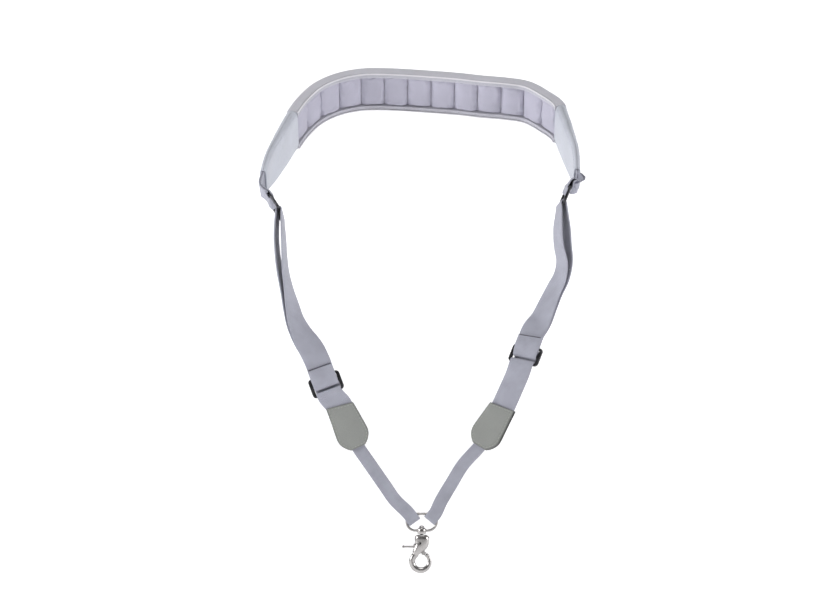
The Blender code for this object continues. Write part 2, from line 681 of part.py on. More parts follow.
def make_eye(finish):
    """The wire eye, one piece with the boss that holds the swivel post."""
    swing = np.array((EYE_X, WEB_PLANE_Y, EYE_Z + EYE_HALF_HEIGHT))
    straight = EYE_HALF_LENGTH - EYE_HALF_HEIGHT
    path = []
    for hand in (1, -1):
        for angle in np.radians(np.linspace(-90, 90, 13)):
            x = EYE_X + hand * (straight + EYE_HALF_HEIGHT * math.cos(angle))
            path.append((x, WEB_PLANE_Y, EYE_Z + hand * EYE_HALF_HEIGHT * math.sin(angle)))
    piece = tube("wire_eye", path, EYE_WIRE, 10, finish, FRONT, swing, closed=True)
    levels = ((BOSS_LOW_Z, BOSS_RADIUS - 0.0007), (BOSS_LOW_Z + 0.0007, BOSS_RADIUS),
              (BOSS_TOP_Z - 0.0020, BOSS_RADIUS), (BOSS_TOP_Z, BOSS_RADIUS - 0.0014))
    boss = upright_rod("eye_boss_shape", EYE_X, WEB_PLANE_Y, levels, 24, finish)
    combine(piece, boss, "UNION")
    levels = ((BOSS_LOW_Z - 0.001, POST_HOLE), (BOSS_TOP_Z + 0.001, POST_HOLE))
    combine(piece, upright_rod("eye_hole_shape", EYE_X, WEB_PLANE_Y, levels, 16, finish), "DIFFERENCE")


def make_swivel_post(finish):
    """The headed rivet that ties the hook to the eye's boss."""
    head = BOSS_TOP_Z + GAP
    levels = ((POST_LOW_Z, POST_RADIUS), (head, POST_RADIUS), (head, POST_HEAD_RADIUS),
              (head + 0.6 * POST_HEAD, POST_HEAD_RADIUS), (head + POST_HEAD, 0.5 * POST_HEAD_RADIUS))
    axis = np.array((EYE_X, WEB_PLANE_Y, BOSS_LOW_Z))
    upright_rod("swivel_post", EYE_X, WEB_PLANE_Y, levels, 16, finish, axis)


def hook_sections():
    """Middle, half width and half depth down the hook's body and round its arm to the tip."""
    rows = [(0.0038, -0.4361, 0.0046, 0.0034), (0.0038, -0.4371, 0.0062, 0.0041), (0.0039, -0.4388, 0.0070, 0.0045),
            (0.0040, -0.4415, 0.0073, 0.0046), (0.0037, -0.4445, 0.0071, 0.0046), (0.0023, -0.4475, 0.0062, 0.0045),
            (0.0003, -0.4503, 0.0050, 0.0041), (-0.0015, -0.4528, 0.0039, 0.0036)]
    for place, round_off in [(place, 1.0) for place in np.linspace(0, 1, 22)] + [(1.012, 0.6)]:
        angle = math.radians(128 + 284 * place)
        radius = round_off * eased(ARM_RADII, place)
        rows.append((HOOK_X + HOOK_RADIUS * math.cos(angle), HOOK_Z + HOOK_RADIUS * math.sin(angle), radius, radius))
    return np.array(rows)


def make_hook_body(finish):
    """The hook's body and arm, with the slot for the trigger, the rivet's hole and the post's hole."""
    rows = hook_sections()
    middle = np.stack((rows[:, 0], np.full(len(rows), WEB_PLANE_Y), rows[:, 1]), axis=1)
    along = tangents(middle)
    along[:3] = (0, 0, -1)
    across = np.cross(along, FRONT)
    turns = [2 * math.pi * (side + 0.5) / 16 for side in range(16)]
    rings = []
    for point, side, half, depth in zip(middle, across, rows[:, 2], rows[:, 3]):
        rings.append([point + half * math.cos(a) * side + depth * math.sin(a) * FRONT for a in turns])
    axis = np.array((EYE_X, WEB_PLANE_Y, BOSS_LOW_Z))
    piece = loft("hook_body", rings, finish, axis)
    slot = [(-0.020, SLOT_TOP_Z), (-0.020, SLOT_FLOOR_Z), (SLOT_LEFT_X, SLOT_FLOOR_Z), (SLOT_LEFT_X, THROAT_Z),
            (THROAT_X, THROAT_Z), (THROAT_X, MOUTH_Z), (0.020, MOUTH_Z), (0.020, SLOT_TOP_Z)]
    combine(piece, upright_plate("hook_slot_shape", slot, SLOT_HALF, finish), "DIFFERENCE")
    ends = [(RIVET_X, WEB_PLANE_Y - 0.010, RIVET_Z), (RIVET_X, WEB_PLANE_Y + 0.010, RIVET_Z)]
    hole = tube("hook_rivet_hole_shape", ends, RIVET_HOLE, 16, finish, (0, 0, 1))
    combine(piece, hole, "DIFFERENCE")
    levels = ((POST_LOW_Z - GAP, POST_HOLE), (-0.4350, POST_HOLE))
    combine(piece, upright_rod("hook_post_hole_shape", EYE_X, WEB_PLANE_Y, levels, 16, finish), "DIFFERENCE")


def make_trigger(finish):
    """The trigger: hub, gate finger and spring seat as one plate, with the round thumb lever."""
    pivot = np.array((RIVET_X, WEB_PLANE_Y, RIVET_Z))
    outline = [(RIVET_X + 0.0032 * math.cos(a), RIVET_Z + 0.0032 * math.sin(a))
               for a in np.radians(np.linspace(-20, 150, 9))]
    outline += [(-0.0012, -0.4446), (-0.0043, -0.4446), (-0.0043, -0.4486), (0.0000, -0.4484), (0.0026, -0.4476)]
    for radius, angle in ((GATE_INSIDE, 84), (GATE_INSIDE, 71), (GATE_INSIDE, 58), (GATE_OUTSIDE, 58), (GATE_OUTSIDE, 68)):
        turn = math.radians(angle)
        outline.append((HOOK_X + radius * math.cos(turn), HOOK_Z + radius * math.sin(turn)))
    outline.append((0.0058, -0.4506))
    piece = upright_plate("trigger", outline, TRIGGER_HALF, finish, pivot)
    radii = ((-0.0030, LEVER_RADIUS), (LEVER_END_X + 0.0022, LEVER_RADIUS), (LEVER_END_X + 0.0014, 0.00135),
             (LEVER_END_X + 0.0005, 0.00135), (LEVER_END_X, 0.0008))
    turns = [2 * math.pi * side / 12 for side in range(12)]
    rings = []
    for x, radius in radii:
        rings.append([np.array((x, WEB_PLANE_Y + radius * math.cos(a), LEVER_Z + radius * math.sin(a))) for a in turns])
    combine(piece, loft("lever_shape", rings, finish), "UNION")
    ends = [(RIVET_X, WEB_PLANE_Y - 0.004, RIVET_Z), (RIVET_X, WEB_PLANE_Y + 0.004, RIVET_Z)]
    combine(piece, tube("trigger_hole_shape", ends, RIVET_HOLE, 16, finish, (0, 0, 1)), "DIFFERENCE")


def make_trigger_rivet(finish):
    """The rivet that the trigger turns on."""
    ends = [(RIVET_X, WEB_PLANE_Y - RIVET_HALF_LENGTH, RIVET_Z), (RIVET_X, WEB_PLANE_Y + RIVET_HALF_LENGTH, RIVET_Z)]
    axis = np.array((RIVET_X, WEB_PLANE_Y, RIVET_Z))
    tube("trigger_rivet", ends, RIVET_RADIUS, 16, finish, (0, 0, 1), axis)


def make_trigger_spring(finish):
    """The small coil between the trigger's seat and the roof of the hook's slot."""
    low = -0.4446 + GAP + SPRING_WIRE
    high = SLOT_TOP_Z - GAP - SPRING_WIRE
    path = []
    for turn in np.linspace(0, SPRING_TURNS, SPRING_TURNS * 10 + 1):
        angle = 2 * math.pi * turn
        path.append((SPRING_X + SPRING_COIL * math.cos(angle), WEB_PLANE_Y + SPRING_COIL * math.sin(angle),
                     low + (high - low) * turn / SPRING_TURNS))
    tube("trigger_spring", path, SPRING_WIRE, 6, finish, (0, 0, 1), np.array((SPRING_X, WEB_PLANE_Y, SLOT_TOP_Z)))


# The object ----------------------------------------------------------------------------------------


def main():
    """Clears the scene and builds every piece."""
    for old in list(bpy.data.objects):
        bpy.data.objects.remove(old, do_unlink=True)
    shell = material("shell cloth", (0.49, 0.48, 0.56), 0.75)
    rim = material("rim cloth", (0.62, 0.61, 0.68), 0.70)
    cell = material("air cell skin", (0.42, 0.41, 0.49), 0.55)
    foam = material("foam", (0.20, 0.20, 0.22), 0.95)
    tab = material("end tab leather", (0.64, 0.66, 0.74), 0.45)
    web = material("webbing", (0.37, 0.37, 0.43), 0.80)
    leather = material("sage leather", (0.29, 0.31, 0.28), 0.70)
    dark = material("dark gunmetal", (0.05, 0.05, 0.055), 0.30, 1.0)
    nickel = material("nickel", (0.62, 0.60, 0.60), 0.22, 1.0)
    spring = material("spring steel", (0.45, 0.45, 0.46), 0.35, 1.0)
    make_shell(shell)
    make_pad_filling(foam, shell)
    make_rim(rim, rim)
    for index in range(CELL_COUNT):
        make_cell(index, cell)
    for side in SIDES:
        ring = ring_frame(side)
        make_end_tab(side, tab)
        make_pad_loop(side, ring, web)
        make_ring(side, ring, dark)
        path, face = strap_path(side)
        ribbon(f"strap_webbing_{side}", path, face, WEB_WIDTH, WEB_THICK, web)
        make_slider(side, dark)
        make_leather_tab(side, leather)
        make_narrow_webbing(side, web)
    make_eye(nickel)
    make_swivel_post(nickel)
    make_hook_body(nickel)
    make_trigger(nickel)
    make_trigger_rivet(dark)
    make_trigger_spring(spring)


main()
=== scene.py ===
"""Looks of the saxophone neck strap: soft goods, stitching, metal, materials, light and camera."""

import json
import math

import bmesh
import bpy
import numpy as np
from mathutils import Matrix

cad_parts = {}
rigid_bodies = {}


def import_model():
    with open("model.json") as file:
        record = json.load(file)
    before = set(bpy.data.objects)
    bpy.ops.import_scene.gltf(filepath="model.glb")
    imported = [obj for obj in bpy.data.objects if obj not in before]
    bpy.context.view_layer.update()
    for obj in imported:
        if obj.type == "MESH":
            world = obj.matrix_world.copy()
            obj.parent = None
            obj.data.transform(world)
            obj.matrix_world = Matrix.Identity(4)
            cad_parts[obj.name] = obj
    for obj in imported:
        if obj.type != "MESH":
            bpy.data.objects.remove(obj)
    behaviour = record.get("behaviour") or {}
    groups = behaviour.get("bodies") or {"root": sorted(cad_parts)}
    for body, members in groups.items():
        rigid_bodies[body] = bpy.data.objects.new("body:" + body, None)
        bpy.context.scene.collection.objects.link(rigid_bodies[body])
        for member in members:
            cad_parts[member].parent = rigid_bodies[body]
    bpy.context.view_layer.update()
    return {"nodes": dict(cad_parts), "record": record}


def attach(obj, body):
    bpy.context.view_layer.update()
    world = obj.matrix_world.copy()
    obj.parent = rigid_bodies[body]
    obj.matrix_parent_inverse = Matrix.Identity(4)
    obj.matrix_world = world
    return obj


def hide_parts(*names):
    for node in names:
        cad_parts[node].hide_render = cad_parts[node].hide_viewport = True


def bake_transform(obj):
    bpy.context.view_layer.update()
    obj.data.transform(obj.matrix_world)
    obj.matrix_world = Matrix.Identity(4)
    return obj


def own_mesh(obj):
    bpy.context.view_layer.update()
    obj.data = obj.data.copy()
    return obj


# Driving dimensions ---

GAP = 0.0003  # between neighbouring pieces

# Neck pad. Its section is in (out, up): out of the neck from the mid thickness, and up across the band.
PAD_TILT = math.radians(42)  # the band's upper edge leans towards the front by this much
PAD_HALF_THICKNESS = 0.0060
PAD_HALF_WIDTH = 0.0235
SHELL_WALL = 0.0018
CORE_IN = 0.0006
BACKING_IN = -0.0012
LIP_HALF_IN = 0.0176  # the rim round the cells runs from here ...
LIP_HALF_OUT = 0.0214  # ... to here, on both sides of the middle
PIPING_RADIUS = 0.00075
PIPING_UP = 0.0225
CELL_COUNT = 13
CELL_HALF_HEIGHT = 0.01725
CELL_CROWN_OUT = -0.0064
PAD_START = 0.0895  # length along the centre line from the left tip to the first cell
PAD_LENGTH = 0.3110
END_RIM = 0.0040  # of shell beyond the last cells

# Mid line of pad and end tabs, left tip to right tip, as (across, forward and down) in the tilted plane.
PAD_LINE = (
    (-0.1505, 0.1400), (-0.1462, 0.1230), (-0.1400, 0.1040), (-0.1330, 0.0830), (-0.1255, 0.0605),
    (-0.1160, 0.0375), (-0.1015, 0.0150), (-0.0819, 0.0000), (-0.0582, -0.0080), (-0.0326, -0.0088),
    (0.0000, -0.0060), (0.0387, -0.0012), (0.0640, 0.0034), (0.0900, 0.0072), (0.1110, 0.0133),
    (0.1286, 0.0293), (0.1405, 0.0445), (0.1455, 0.0660), (0.1497, 0.0890), (0.1529, 0.1060),
    (0.1545, 0.1210), (0.1548, 0.1370),
)

# End tabs: half width and half thickness from the pad (0) to the tip (1)
TAB_HALF_WIDTH = ((0.0, 0.0235), (0.3, 0.0235), (0.55, 0.0228), (0.75, 0.0211), (0.9, 0.0175), (1.0, 0.0138))
TAB_HALF_THICKNESS = ((0.0, 0.0060), (0.3, 0.0055), (0.6, 0.0044), (0.85, 0.0036), (1.0, 0.0032))
TAB_CHANNEL_HALF = 0.01235
TAB_CHANNEL_OUT = 0.00175

# Webbing
WEB_WIDTH = 0.0240
WEB_THICK = 0.0013
NARROW_WIDTH = 0.0128
NARROW_THICK = 0.0011
LAYER_PITCH = WEB_THICK + GAP  # between the middles of two layers that lie together

# Rectangular rings at the pad's ends
RING_WIRE = 0.0015
RING_INSIDE = 0.0258
RING_PITCH = 0.0165  # between the middles of its two long bars
RING_CORNER = 0.0030

# Three-bar sliders: bars at -BAR_PITCH, 0 and +BAR_PITCH along the strap
BAR_HALF = 0.0013
BAR_PITCH = 0.0084
SLIDER_SIDE = 0.0034
SLIDER_INSIDE = 0.0250
BAR_TURN = BAR_HALF + 0.0005 + WEB_THICK / 2  # radius of the webbing's middle round a bar
TAIL_END = 0.0215
FRONT_SPREAD = 0.0140  # above the tail's end the front strand moves out over this length
PAIR_START = 0.0140  # above this the two strands follow the strap's free line
WEB_PLANE_Y = -0.1300
SLIDER_Y = WEB_PLANE_Y + BAR_TURN

# Stitched leather tabs, half widths down their length
LEATHER_THICK = 0.0015
LEATHER_IN = 0.00155
LEATHER_LENGTH = 0.0443
LEATHER_SLANT = 0.0022  # the top edge rises this much at its outer corner and falls at its inner one
LEATHER_OUTLINE = ((0.0132, 0.0000), (0.0141, 0.0100), (0.0152, 0.0220), (0.0158, 0.0305), (0.0146, 0.0360),
                   (0.0112, 0.0410), (0.0074, 0.0443))

# Wire eye and swivel
EYE_X = 0.0036
EYE_WIRE = 0.0013
EYE_HALF_LENGTH = 0.0144  # to the middle of the wire
EYE_HALF_HEIGHT = 0.0080
EYE_Z = -0.4238
BOSS_RADIUS = 0.0042
BOSS_TOP_Z = -0.4290
BOSS_LOW_Z = -0.4352
POST_RADIUS = 0.0014
POST_HOLE = 0.0015
POST_HEAD_RADIUS = 0.0026
POST_HEAD = 0.0018
POST_LOW_Z = -0.4388

# Hook and trigger, in the upright plane of the hook
HOOK_X = 0.0028
HOOK_Z = -0.4618
HOOK_RADIUS = 0.0084
ARM_RADII = ((0.0, 0.0030), (0.47, 0.0029), (0.53, 0.0029), (0.85, 0.0018), (1.0, 0.0017))  # from body to tip
SLOT_HALF = 0.0018
SLOT_TOP_Z = -0.4396
SLOT_FLOOR_Z = -0.4497
SLOT_LEFT_X = -0.0012
MOUTH_Z = -0.4525
THROAT_Z = -0.4560
THROAT_X = 0.0060
RIVET_X = 0.0020
RIVET_Z = -0.4439
RIVET_HOLE = 0.00115
SPRING_X = -0.0023
SPRING_COIL = 0.00070
SPRING_WIRE = 0.00022
SPRING_TURNS = 4

FRONT = np.array((0.0, -1.0, 0.0))
BAND_UP = np.array((0.0, -math.sin(PAD_TILT), math.cos(PAD_TILT)))
BAND_FORWARD = np.array((0.0, -math.cos(PAD_TILT), -math.sin(PAD_TILT)))

# Each side: the direction that the slider and the leather tab face; slider middle and the strap's direction
# up through it; the webbing below it down to the top of the leather tab; the tab's direction downwards;
# the side that the front strand faces at the ring, and its turn towards the front above the slider; the
# free line of the doubled strap from slider to ring, as (x, y, z, turn towards the front in degrees, half the
# distance between its strands); the ring's direction from bar to bar, as (x, z); the outermost point of the
# pad's webbing loop; the narrow webbing from tab to eye, as (x, z); and where it folds round the eye's wire.
SIDES = {
    "left": {
        "front": (0.0, -1.0, 0.0),
        "slider": (-0.0886, SLIDER_Y, -0.2910),
        "up": (-0.350, 0.0, 0.937),
        "web_below": ((-0.0808, -0.1300, -0.3058),),
        "tab_top": (-0.0756, -0.3114),
        "tab_down": (0.410, 0.0, -0.912),
        "facing": (1.0, 0.0, 0.0),
        "turn": 90,
        "strap": (
            (-0.1026, -0.1318, -0.2570, 68, 0.00145), (-0.1116, -0.1318, -0.2435, 48, 0.0012),
            (-0.1182, -0.1315, -0.2300, 37, 0.0012), (-0.1224, -0.1310, -0.2150, 28, 0.0015),
            (-0.1266, -0.1305, -0.1985, 17, 0.0020), (-0.1302, -0.1300, -0.1820, 11, 0.0027),
            (-0.1321, -0.1294, -0.1660, 8, 0.0033), (-0.1330, -0.1284, -0.1510, 7, 0.0035),
            (-0.1334, -0.1258, -0.1385, 6, 0.0031), (-0.1334, -0.1205, -0.1265, 4, 0.00245),
        ),
        "ring_down": (0.560, -0.828),
        "loop_bulge": (-0.1522, -0.1105, -0.1020),
        "narrow": ((-0.0452, -0.3695), (-0.0320, -0.3885), (-0.0224, -0.4022)),
        "outer": -1,
        "fold": 0.0056,
    },
    "right": {
        "front": (-0.45, -0.89, 0.0),
        "slider": (0.1040, -0.1248, -0.2628),
        "up": (0.360, 0.340, 0.870),
        "web_below": ((0.0954, -0.1318, -0.2825), (0.0884, -0.1315, -0.2985)),
        "tab_top": (0.0820, -0.3128),
        "tab_down": (-0.511, 0.0, -0.859),
        "facing": (-1.0, 0.0, 0.0),
        "turn": 62,
        "strap": (
            (0.1196, -0.1170, -0.2285, 48, 0.0013), (0.1258, -0.1165, -0.2150, 39, 0.0012),
            (0.1322, -0.1170, -0.2010, 31, 0.0013), (0.1392, -0.1178, -0.1870, 26, 0.0018),
            (0.1420, -0.1186, -0.1720, 22, 0.0028), (0.1402, -0.1194, -0.1560, 18, 0.0042),
            (0.1394, -0.1200, -0.1400, 16, 0.0042), (0.1392, -0.1196, -0.1280, 12, 0.0032),
            (0.1390, -0.1178, -0.1175, 8, 0.00245),
        ),
        "ring_down": (-0.398, -0.917),
        "loop_bulge": (0.1545, -0.1088, -0.0972),
        "narrow": ((0.0435, -0.3685), (0.0326, -0.3862), (0.0226, -0.4030)),
        "outer": 1,
        "fold": 0.0040,
    },
}
EYE_APPROACH = (0.61, -0.792)  # of the narrow webbing where it crosses the eye's wire: inwards and down


# Curves and frames ---


def unit(vectors):
    """The vectors at length one."""
    vectors = np.asarray(vectors, float)
    return vectors / np.linalg.norm(vectors, axis=-1, keepdims=True)


def square(vectors, along):
    """The vectors with their part along the given directions taken out, at length one."""
    vectors = np.asarray(vectors, float)
    return unit(vectors - np.sum(vectors * along, axis=-1, keepdims=True) * along)


def curve_through(knots, step, dims=3):
    """A smooth curve through the knots (Catmull-Rom), in even steps of its first dims columns."""
    knots = np.asarray(knots, float)
    ends = np.vstack((2 * knots[0] - knots[1], knots, 2 * knots[-1] - knots[-2]))
    fine = []
    for before, start, end, after in zip(ends, ends[1:], ends[2:], ends[3:]):
        for part in np.linspace(0, 1, 24, endpoint=False):
            fine.append(0.5 * (2 * start + (end - before) * part
                               + (2 * before - 5 * start + 4 * end - after) * part**2
                               + (3 * start - before - 3 * end + after) * part**3))
    fine.append(knots[-1])
    fine = np.array(fine)
    reach = distances(fine[:, :dims])
    count = max(2, round(reach[-1] / step)) + 1
    wanted = np.linspace(0, reach[-1], count)
    return np.stack([np.interp(wanted, reach, column) for column in fine.T], axis=1)


def distances(path):
    """Length along the path to each of its points."""
    return np.concatenate(((0.0,), np.cumsum(np.linalg.norm(np.diff(path, axis=0), axis=1))))


def tangents(path):
    """Direction of the path at each of its points."""
    return unit(np.gradient(np.asarray(path, float), axis=0))


def between(table, place):
    """A value from a table of (place, value), on straight lines between its rows."""
    places, values = np.array(table).T
    return float(np.interp(place, places, values))


PAD_CURVE = curve_through(PAD_LINE, 0.001, dims=2)
PAD_REACH = distances(PAD_CURVE)
PAD_HEADING = tangents(PAD_CURVE)
PAD_END = PAD_START + PAD_LENGTH
TIP_END = PAD_REACH[-1]


def side_front(side, along):
    """The direction that a side's slider or leather tab faces, square to its own direction."""
    return square(SIDES[side]["front"], unit(along))


def on_pad(reach, out, up):
    """Points of the pad, from lengths along it, outwards and up across the band."""
    reach, out, up = np.broadcast_arrays(*(np.asarray(value, float) for value in (reach, out, up)))
    across, forward = (np.interp(reach, PAD_REACH, column)[..., None] for column in PAD_CURVE.T)
    one, two = (np.interp(reach, PAD_REACH, column)[..., None] for column in PAD_HEADING.T)
    side = np.array((1.0, 0.0, 0.0))
    outward = unit(two * side - one * BAND_FORWARD)
    return across * side + forward * BAND_FORWARD + out[..., None] * outward + up[..., None] * BAND_UP


def pad_loop_path(side, ring):
    """The doubled webbing from inside an end tab, round the ring's upper bar and back: points and faces."""
    if side == "left":
        reaches = np.linspace(PAD_START - END_RIM - 0.008, 0.0, 14)
    else:
        reaches = np.linspace(PAD_END + END_RIM + 0.008, TIP_END, 14)
    inside = on_pad(reaches, 0.0, 0.0)
    approach = [ring["upper"] - before * ring["down"] for before in (0.0080, 0.0040, 0.0)]
    outside = curve_through((*inside[-3:], SIDES[side]["loop_bulge"], *approach), 0.002)
    reach_in_tab = np.linalg.norm(inside[-1] - inside[-3])
    outside = outside[distances(outside) > reach_in_tab + 0.001]
    middle = np.vstack((inside, outside))
    along = tangents(middle)
    left_over = distances(middle)[-1] - distances(middle)
    free = np.clip((distances(middle) - distances(inside)[-1]) / 0.014, 0, 1)
    bar = ring["bar"] * np.sign(np.dot(ring["bar"], BAND_UP))
    across = square(BAND_UP + free[:, None] * (bar - BAND_UP), along)
    out = np.cross(across, along)
    out *= np.sign(np.dot(out[0], on_pad(reaches[0], 1.0, 0.0) - inside[0]))
    turn = RING_WIRE + GAP + WEB_THICK / 2
    to_ring = np.clip((0.012 - left_over) / 0.010, 0, 1)
    offset = (LAYER_PITCH / 2 + (turn - LAYER_PITCH / 2) * to_ring**2 * (3 - 2 * to_ring))[:, None]
    path = list(middle + offset * out)
    face = list(out)
    for angle in np.linspace(0, math.pi, 9)[1:-1]:
        spoke = math.cos(angle) * out[-1] + math.sin(angle) * along[-1]
        path.append(middle[-1] + turn * spoke)
        face.append(spoke)
    path += list((middle - offset * out)[::-1])
    face += list(-out[::-1])
    return np.array(path), np.array(face)


def strap_line(side):
    """The middle line of the doubled strap above the slider: points, facing directions and half gaps."""
    data = SIDES[side]
    slider = np.array(data["slider"])
    up = unit(data["up"])
    middle = slider + (BAR_TURN + LAYER_PITCH) * side_front(side, up)
    knots = [(*(middle + (PAIR_START + reach) * up), data["turn"], LAYER_PITCH) for reach in (0.0, 0.010)]
    curve = curve_through(knots + list(data["strap"]), 0.004)
    points, turns, half_gaps = curve[:, :3], np.radians(curve[:, 3]), curve[:, 4]
    facing = np.cos(turns)[:, None] * np.array(data["facing"]) + np.sin(turns)[:, None] * FRONT
    facing[:2] = side_front(side, up)
    return points, square(facing, tangents(points)), half_gaps


def ring_frame(side):
    """Where a rectangular ring sits: its two bars' middles, their direction, and the way down the ring."""
    points, facing, _ = strap_line(side)
    bar = np.cross(facing[-1], tangents(points)[-1])
    across, down = SIDES[side]["ring_down"]
    down = np.array((across, -(across * bar[0] + down * bar[2]) / bar[1], down))
    down = unit(down)
    return {"lower": points[-1], "upper": points[-1] - RING_PITCH * down, "bar": bar, "down": down}


def bar_arc(middle, radius, start, end, count=7):
    """Points round a slider bar in (up the strap, to the front), angles in degrees from up to front."""
    turns = np.radians(np.linspace(start, end, count))
    return [(middle + radius * math.cos(a), radius * math.sin(a)) for a in turns]


def strap_path(side):
    """The whole length of one strap's webbing: its points and the directions its outside faces."""
    data = SIDES[side]
    slider = np.array(data["slider"])
    up = unit(data["up"])
    front = side_front(side, up)
    points, facing, half_gaps = strap_line(side)
    behind = BAR_TURN + LAYER_PITCH
    dive = math.degrees(math.asin((BAR_TURN + behind) / BAR_PITCH))
    lean = math.degrees(math.asin(2 * LAYER_PITCH / BAR_PITCH))
    rising = [(-BAR_PITCH - 0.002, BAR_TURN)] + bar_arc(-BAR_PITCH, BAR_TURN, 90, 0)
    bend = 0.0020
    corner = bar_arc(BAR_TURN - BAR_PITCH + bend, bend, 180, 270)
    rising += [(height, out - (behind - bend)) for height, out in corner]
    rising += bar_arc(0.0, behind, 270, 270 + dive, 5)
    rising += bar_arc(BAR_PITCH, BAR_TURN, 90 + dive, 90)
    tail_up = bar_arc(BAR_PITCH, BAR_TURN + 2 * LAYER_PITCH, 90, 90 + lean, 4)
    tail_up += bar_arc(0.0, BAR_TURN, 90 + lean, 270 + dive, 13)
    tail_up += bar_arc(BAR_PITCH, behind, 90 + dive, 90)

    def placed(local):
        local = np.array(local)
        heading = tangents(local)
        where = slider + local[:, :1] * up + local[:, 1:] * front
        return where, heading[:, 1:] * up - heading[:, :1] * front

    in_slider, slider_face = placed(rising)
    down = np.array(data["tab_down"])
    tab_top = np.array((data["tab_top"][0], WEB_PLANE_Y, data["tab_top"][1]))
    knots = [tab_top + reach * down for reach in (0.018, 0.012, 0.006, 0.0)]
    knots += [*data["web_below"][::-1], in_slider[0], in_slider[0] + 0.006 * up]
    path = curve_through(knots, 0.004)
    path = path[(in_slider[0] - path) @ up > 0.0015]
    share = np.linspace(0, 1, len(path))[:, None]
    face = -(1 - share) * side_front(side, down) - share * front
    climb = distances(points) + PAIR_START - TAIL_END
    spread = half_gaps * np.clip(climb / FRONT_SPREAD, 0, 1)
    back, fore = points - half_gaps[:, None] * facing, points + spread[:, None] * facing
    along = tangents(points)[-1]
    turn = []
    for angle in np.linspace(0, math.pi, 9)[1:-1]:
        turn.append(-math.cos(angle) * facing[-1] + math.sin(angle) * along)
    turn = np.array(turn)
    round_ring = points[-1] + half_gaps[-1] * turn
    low_path, low_face = placed(tail_up[::-1])
    tail = climb < 0
    on_top = points[tail] + LAYER_PITCH * facing[tail]
    path = np.vstack((path, in_slider, back, round_ring, fore[::-1], low_path, on_top))
    face = np.vstack((face, slider_face, -facing, turn, facing[::-1], low_face, -facing[tail]))
    return path, face


def narrow_path(side):
    """The doubled narrow webbing from a leather tab, round the wire eye's upper corner and back."""
    data = SIDES[side]
    down = unit(data["tab_down"])[[0, 2]]
    tab_end = np.array(data["tab_top"]) + LEATHER_LENGTH * down
    corner = np.array((EYE_X + data["outer"] * (EYE_HALF_LENGTH - EYE_HALF_HEIGHT), EYE_Z))
    inward = np.array((-data["outer"] * EYE_APPROACH[0], EYE_APPROACH[1]))
    crossing = corner - EYE_HALF_HEIGHT * inward
    fold = crossing + data["fold"] * inward
    knots = [tab_end - 0.018 * down, tab_end - 0.008 * down, tab_end, *map(np.array, data["narrow"]),
             crossing - 0.0040 * inward, fold]
    flat = curve_through(knots, 0.004, dims=2)
    middle = np.stack((flat[:, 0], np.full(len(flat), WEB_PLANE_Y), flat[:, 1]), axis=1)
    turn = EYE_WIRE + GAP + NARROW_THICK / 2
    resting = (NARROW_THICK + GAP) / 2
    left_over = distances(middle)[-1] - distances(middle)
    open_up = np.clip((0.022 - left_over) / 0.010, 0, 1)
    offset = (resting + (turn - resting) * open_up**2 * (3 - 2 * open_up))[:, None]
    along = tangents(middle)
    turned = np.clip((left_over - 0.016) / 0.030, 0, 1)[:, None]
    facing = square(FRONT + turned * (side_front(side, data["tab_down"]) - FRONT), along)
    path = list(middle + offset * facing)
    face = list(facing)
    for angle in np.linspace(0, math.pi, 9)[1:-1]:
        spoke = math.cos(angle) * FRONT + math.sin(angle) * along[-1]
        path.append(middle[-1] + turn * spoke)
        face.append(spoke)
    path += list((middle - offset * facing)[::-1])
    face += list(-facing[::-1])
    return np.array(path), np.array(face)


def hook_sections():
    """Middle, half width and half depth down the hook's body and round its arm to the tip."""
    rows = [
        (0.0038, -0.4361, 0.0046, 0.0034), (0.0038, -0.4371, 0.0062, 0.0041),
        (0.0039, -0.4388, 0.0070, 0.0045), (0.0040, -0.4415, 0.0073, 0.0046),
        (0.0037, -0.4445, 0.0071, 0.0046), (0.0023, -0.4475, 0.0062, 0.0045),
        (0.0003, -0.4503, 0.0050, 0.0041), (-0.0015, -0.4528, 0.0039, 0.0036),
    ]
    for place, round_off in [(place, 1.0) for place in np.linspace(0, 1, 22)] + [(1.012, 0.6)]:
        angle = math.radians(128 + 284 * place)
        radius = round_off * between(ARM_RADII, place)
        x, z = HOOK_X + HOOK_RADIUS * math.cos(angle), HOOK_Z + HOOK_RADIUS * math.sin(angle)
        rows.append((x, z, radius, radius))
    return np.array(rows)


# Smooth shapes ---


def refined(rows, step, dims=3):
    """The rows resampled in even steps of their first dims columns, on a smooth curve through them."""
    rows = np.asarray(rows, float)
    gaps = np.linalg.norm(np.diff(rows[:, :dims], axis=0), axis=1)
    keep = np.concatenate(((True,), gaps > 1e-5))
    rows = rows[keep]
    gaps = np.linalg.norm(np.diff(rows[:, :dims], axis=0), axis=1)[:, None]
    slopes = np.diff(rows, axis=0) / gaps
    middle = (slopes[:-1] * gaps[1:] + slopes[1:] * gaps[:-1]) / (gaps[1:] + gaps[:-1])
    lean = np.vstack((slopes[:1], middle, slopes[-1:]))
    fine = []
    for part in np.linspace(0, 1, 12, endpoint=False):
        square_, cube = part**2, part**3
        fine.append((2 * cube - 3 * square_ + 1) * rows[:-1] + (cube - 2 * square_ + part) * gaps * lean[:-1]
                    + (3 * square_ - 2 * cube) * rows[1:] + (cube - square_) * gaps * lean[1:])
    fine = np.vstack((np.stack(fine, axis=1).reshape(-1, rows.shape[1]), rows[-1:]))
    reach = distances(fine[:, :dims])
    wanted = np.linspace(0, reach[-1], max(2, round(reach[-1] / step)) + 1)
    return np.stack([np.interp(wanted, reach, column) for column in fine.T], axis=1)


